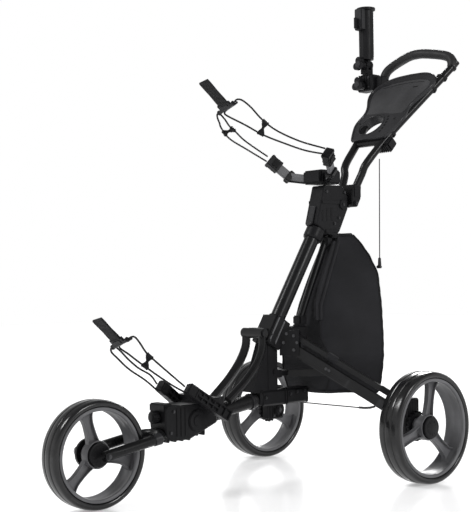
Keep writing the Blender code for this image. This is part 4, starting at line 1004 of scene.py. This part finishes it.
def straps():
    strap("lower", "front_arm", [(-0.026, -0.4565, 0.349), (0.026, -0.4505, 0.369)],
          [(-0.001, -0.462, 0.366), (0, -0.5145, 0.4141)])
    strap("upper", "frame", [(-0.026, -0.138, 0.904), (0.026, -0.134, 0.924)],
          [(-0.001, -0.1425, 0.9205), (0, -0.2062, 0.9712)])
    for name, points, body in (("lower_cord_left", LOWER_LEFT, "front_arm"),
                               ("lower_cord_right", LOWER_RIGHT, "front_arm"),
                               ("upper_cord_left", UPPER_LEFT, "frame"),
                               ("upper_cord_right", UPPER_RIGHT, "frame")):
        cord(name + "_soft", points, CORD_RADIUS, body, name)
    clip("lower_cord_clip", LOWER_LEFT, (0.034, -0.398, 0.329), (0.014, -0.398, 0.305), "front_arm")
    clip("upper_cord_clip_left", UPPER_LEFT, (0.0535, -0.057, 0.878), (0.034, -0.053, 0.853), "frame")
    clip("upper_cord_clip_right", UPPER_RIGHT, (-0.038, -0.087, 0.87), (-0.047, -0.101, 0.86), "frame")


def cable():
    """The brake cable in two halves, each from the middle of the frame on to its leg, and their sheaths."""
    half = [(0.0, 0.118, 0.1805), (0.06, 0.122, 0.1805), (0.13, 0.132, 0.18), (0.18, 0.142, 0.1795),
            (0.205, 0.15, 0.184)]
    sheath = [(0.207, 0.1505, 0.1845), (0.195, 0.146, 0.1808), (0.18, 0.142, 0.1795),
              (0.165, 0.139, 0.1796)]
    for side, name in SIDES:
        cord("brake_cable_" + name, [mirrored(side, p) for p in half], CABLE_RADIUS, "frame", "brake_cable",
             onto=name + "_leg")
    for side, name in SIDES:
        cover = Shape().tube([mirrored(side, p) for p in sheath], 0.0028, 16)
        cover.done("brake_cable_sheath_" + name, name + "_leg", SATIN, "brake_cable")


# ---------------------------------------------------------------- pouch
# level: height, front half-width and y, rear half-width and y
POUCH_LEVELS = [(0.19, 0.06, 0.124, 0.15, 0.214), (0.207, 0.07, 0.118, 0.163, 0.22),
                (0.236, 0.082, 0.116, 0.17, 0.224), (0.272, 0.09, 0.116, 0.174, 0.227),
                (0.305, 0.088, 0.114, 0.176, 0.229), (0.35, 0.05, 0.12, 0.166, 0.24),
                (0.43, 0.033, 0.136, 0.134, 0.27), (0.51, 0.028, 0.174, 0.095, 0.301),
                (0.56, 0.025, 0.198, 0.066, 0.298), (0.595, 0.021, 0.216, 0.042, 0.288),
                (0.618, 0.014, 0.232, 0.026, 0.274)]
# the heights that the soft mesh spans, its cloth and creases
POUCH_LOW, POUCH_HIGH = 0.209, 0.616
POUCH_CLOTH = {"quality": 6, "vertex_group_mass": "seams", "use_pressure": True,
               "uniform_pressure_force": 2.2, "tension_stiffness": 20, "compression_stiffness": 4,
               "bending_stiffness": 0.3}
POUCH_INSET = 0.003
CLOTH_FRAMES = 25
MOST_BULGE = 0.009
PUCKER, SAG, CREASE = 0.0004, 0.0016, 0.003


def pouch_level(z):
    """The pouch's section at a height, between the listed levels."""
    for low, high in zip(POUCH_LEVELS, POUCH_LEVELS[1:]):
        if z <= high[0] or high is POUCH_LEVELS[-1]:
            t = min(1.0, max(0.0, (z - low[0]) / (high[0] - low[0])))
            return [a + (b - a) * t for a, b in zip(low, high)][1:]


def pouch_ring(z):
    """Corner points around the pouch at a height: front left, rear left, rear right, front right."""
    front_x, front_y, rear_x, rear_y = pouch_level(z)
    front_x, front_y, rear_x, rear_y = (front_x - POUCH_INSET, front_y + POUCH_INSET, rear_x - POUCH_INSET,
                                        rear_y - 0.006 - POUCH_INSET)
    return [(front_x, front_y), (rear_x, rear_y), (-rear_x, rear_y), (-front_x, front_y)]


def pouch():
    """A soft closed shell that is blown out a little by cloth simulation, then creased and piped."""
    across, tall = 20, 64
    shell = bmesh.new()
    rings = []
    for i in range(tall + 1):
        z = POUCH_LOW + (POUCH_HIGH - POUCH_LOW) * i / tall
        corners = [Vector((x, y, z)) for x, y in pouch_ring(z)]
        ring = []
        for a, b in zip(corners, corners[1:] + corners[:1]):
            ring += [shell.verts.new(a.lerp(b, j / across)) for j in range(across)]
        rings.append(ring)
    skin(shell, rings)
    for ring in (rings[0], rings[-1]):
        centre = shell.verts.new(sum((v.co for v in ring), Vector()) / len(ring))
        for j in range(len(ring)):
            shell.faces.new((ring[j], ring[(j + 1) % len(ring)], centre))
    bmesh.ops.recalc_face_normals(shell, faces=shell.faces)
    mesh = bpy.data.meshes.new("pouch_soft")
    shell.to_mesh(mesh)
    shell.free()
    obj = add_object("pouch_soft", mesh)
    start = [v.co.copy() for v in mesh.vertices]
    per_ring = across * 4
    pinned = obj.vertex_groups.new(name="seams")
    for v in mesh.vertices:
        corner = v.index % per_ring % across == 0 and v.index < per_ring * (tall + 1)
        ends = v.index < per_ring or v.index >= per_ring * tall
        pinned.add([v.index], 1.0 if corner or ends else 0.0, "REPLACE")
    cloth = obj.modifiers.new("cloth", "CLOTH")
    for key, value in POUCH_CLOTH.items():
        setattr(cloth.settings, key, value)
    cloth.settings.effector_weights.gravity = 0.35
    cloth.collision_settings.use_collision = False
    for step in range(1, CLOTH_FRAMES + 1):
        bpy.context.scene.frame_set(step)
    settled = obj.evaluated_get(bpy.context.evaluated_depsgraph_get()).to_mesh()
    moved = [v.co.copy() for v in settled.vertices]
    obj.modifiers.remove(cloth)
    bpy.context.scene.frame_set(1)
    for v, before, after in zip(mesh.vertices, start, moved):
        shift = after - before
        v.co = before + shift * min(1.0, MOST_BULGE / max(shift.length, 1e-6))
    for v in mesh.vertices:
        level = (v.co.z - POUCH_LOW) / (POUCH_HIGH - POUCH_LOW)
        near_seam = abs((v.index % across) / across - 0.5) * 2
        pucker = PUCKER * math.sin(v.co.z * 210 + v.co.y * 60) * near_seam ** 6
        sag = SAG * math.sin(v.co.z * 46 + v.co.y * 33 + v.co.x * 21) * (1 - near_seam ** 4)
        fold = math.exp(-((level - 0.16 - (v.co.y - 0.17) * 0.5) / 0.05) ** 2)
        crease = CREASE * fold * math.sin(v.co.y * 130)
        v.co += v.normal * (pucker + sag + crease * (1 - near_seam ** 2))
    seams = [[mesh.vertices[i * per_ring + corner * across].co.copy() for i in range(tall + 1)]
             for corner in range(4)]
    mesh.transform(Matrix.Translation(DATUM))
    shade(mesh, FABRIC, 50)
    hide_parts("storage_pouch")
    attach(obj, "frame")
    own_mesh(obj)
    for trim in (pouch_piping(seams), pouch_front()):
        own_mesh(trim)


def pouch_piping(seams):
    """Corded piping along the four upright seams and round the top and bottom."""
    shape = Shape()
    for seam in seams:
        shape.tube(seam[1:-1], PIPING_RADIUS, 12)
    for level in (1, -2):
        shape.tube([seam[level] for seam in seams], PIPING_RADIUS, 12, closed=True)
    return shape.done("pouch_piping", "frame", PIPING, "storage_pouch", (), 60)


def pouch_front():
    """The stiff front panel that is sewn round the strut, with two raised sewn channels."""
    shape = Shape()
    for side in (1, -1):
        inner = []
        outer = []
        for i in range(41):
            z = 0.392 + 0.2 * i / 40
            front_x, front_y = pouch_level(z)[:2]
            bulge = math.sin(math.pi * i / 40)
            inner.append(Vector((side * (front_x + 0.0015), front_y + 0.004, z)))
            outer.append(Vector((side * (front_x - 0.006), front_y - 0.006 - 0.006 * bulge, z)))
        shape.tube(inner, 0.0045, 16)
        shape.tube(outer, 0.0038, 16)
        section = doubled([(0.001, -0.008), (0.001, 0.008)])
        middle = [(a + b) / 2 for a, b in zip(inner, outer)]
        shape.sweep(middle, section, up=Y)
    return shape.done("pouch_front_panel", "frame", MESH, "storage_pouch", (), 60)


def pouch_fittings():
    dress(TUBE, "rear_strut", 0.0005)
    ends = Shape()
    ends.block((-0.014, 0.186, 0.583), (0.014, 0.208, 0.606), 0.003)
    ends.block((-0.014, 0.086, 0.381), (0.014, 0.112, 0.404), 0.003)
    ends.done("strut_end_fittings", "frame", BLACK, "rear_strut")
    cord("pouch_elastic_soft", [(0.055, 0.346, 0.8135), (0.0612, 0.338, 0.743), (0.07, 0.3265, 0.645),
                                (0.0785, 0.3155, 0.549)], ELASTIC_RADIUS, "handle", "pouch_elastic", 8,
         "frame")
    hooks = Shape()
    at = Vector((0.0795, 0.314, 0.538))
    hooks.rod(at - Z * 0.01, at + Z * 0.012, 0.0048, 0.0036, 0.001, 24)
    hooks.block((0.0735, 0.306, 0.522), (0.0865, 0.317, 0.53), 0.002)
    hooks.done("pouch_toggle", "frame", SATIN, "storage_pouch")
    outline = doubled([(-0.0092, -0.006), (-0.0078, -0.008), (0.0022, -0.008), (0.0032, -0.0062),
                       (0.0074, -0.0062)], 1, -1)
    for side, name in SIDES:
        top, end, front = leg_line(side, LINK_RISE)
        frame = frame_of(top, end - top, front)
        wrap = Shape()
        route = []
        sections = []
        for i in range(13):
            swell = 1.0 + 0.1 * math.sin(math.pi * i / 12) + 0.02 * math.sin(i * 2.1)
            route.append(frame @ Vector((0.096 + 0.028 * i / 12, 0, 0)))
            sections.append([(side * a * (swell if a < 0 else 1), b * (swell if abs(b) > 0.0063 else 1))
                             for a, b in outline])
        wrap.sweep(route, sections, up=front)
        wrap.done(name + "_link_wrap", name + "_link", FABRIC, "storage_pouch", (), 60)


# ---------------------------------------------------------------- stage
def stage():
    floor = Shape().block((-9, -9, -0.02), (9, 9, 0.0), 0.0)
    mesh = bpy.data.meshes.new("floor")
    floor.bm.to_mesh(mesh)
    floor.bm.free()
    obj = add_object("floor", mesh)
    n = Nodes("studio_floor")
    n.tint(n.noise(2.5, 3), (0.93, 0.93, 0.935), 0.995, 1.005)
    mesh.materials.append(n.set(Roughness=0.16, Specular_IOR_Level=0.35, Emission_Color=(1, 1, 1, 1),
                                Emission_Strength=0.32))

    # white all round, dimmer overhead, so that only the upper faces of the black parts stay dark
    world = bpy.data.worlds.new("studio")
    bpy.context.scene.world = world
    world.use_nodes = True
    tree = world.node_tree
    direction = tree.nodes.new("ShaderNodeTexCoord")
    height = tree.nodes.new("ShaderNodeSeparateXYZ")
    ceiling = tree.nodes.new("ShaderNodeMapRange")
    for name, value in (("From Min", 0.27), ("From Max", 0.6), ("To Min", 1.0), ("To Max", 0.3)):
        ceiling.inputs[name].default_value = value
    tree.links.new(direction.outputs["Generated"], height.inputs[0])
    tree.links.new(height.outputs["Z"], ceiling.inputs["Value"])
    tree.links.new(ceiling.outputs["Result"], tree.nodes["Background"].inputs["Strength"])
    tree.nodes["Background"].inputs["Color"].default_value = (1, 1, 1, 1)

    # place, aim, size in metres and power in watts of the area lights
    for name, place, aim, size, power in (
            ("key", (-1.2, -2.6, 3.2), (0, 0, 0.5), 1.1, 85),
            ("fill", (3.2, 0.6, 2.2), (0, 0, 0.5), 0.9, 50),
            ("rim", (-1.8, 2.6, 2.0), (0, 0, 0.6), 0.9, 45)):
        data = bpy.data.lights.new(name, "AREA")
        data.size = size
        data.energy = power
        lamp = add_object(name, data)
        lamp.location = place
        lamp.rotation_euler = (Vector(aim) - Vector(place)).to_track_quat("-Z", "Y").to_euler()
    bpy.context.scene.view_settings.view_transform = "Standard"


def camera():
    azimuth, elevation = math.radians(CAMERA_AZIMUTH), math.radians(CAMERA_ELEVATION)
    back = Vector((math.sin(azimuth) * math.cos(elevation), -math.cos(azimuth) * math.cos(elevation),
                   math.sin(elevation)))
    right = Vector((math.cos(azimuth), math.sin(azimuth), 0))
    up = back.cross(right)
    turned_right = right * math.cos(CAMERA_ROLL) + up * math.sin(CAMERA_ROLL)
    turned_up = up * math.cos(CAMERA_ROLL) - right * math.sin(CAMERA_ROLL)
    matrix = Matrix((turned_right, turned_up, back)).transposed().to_4x4()
    matrix.translation = CAMERA_PLACE
    data = bpy.data.cameras.new("camera")
    data.lens = CAMERA_LENS
    data.sensor_width = CAMERA_SENSOR
    obj = add_object("camera", data)
    obj.matrix_world = matrix
    bpy.context.scene.camera = obj


wheels()
front_arm()
lower_bracket()
centre_frame()
legs()
upper_housing()
upper_bracket()
handle()
console()
umbrella_holder()
straps()
cable()
pouch()
pouch_fittings()
stage()
camera()
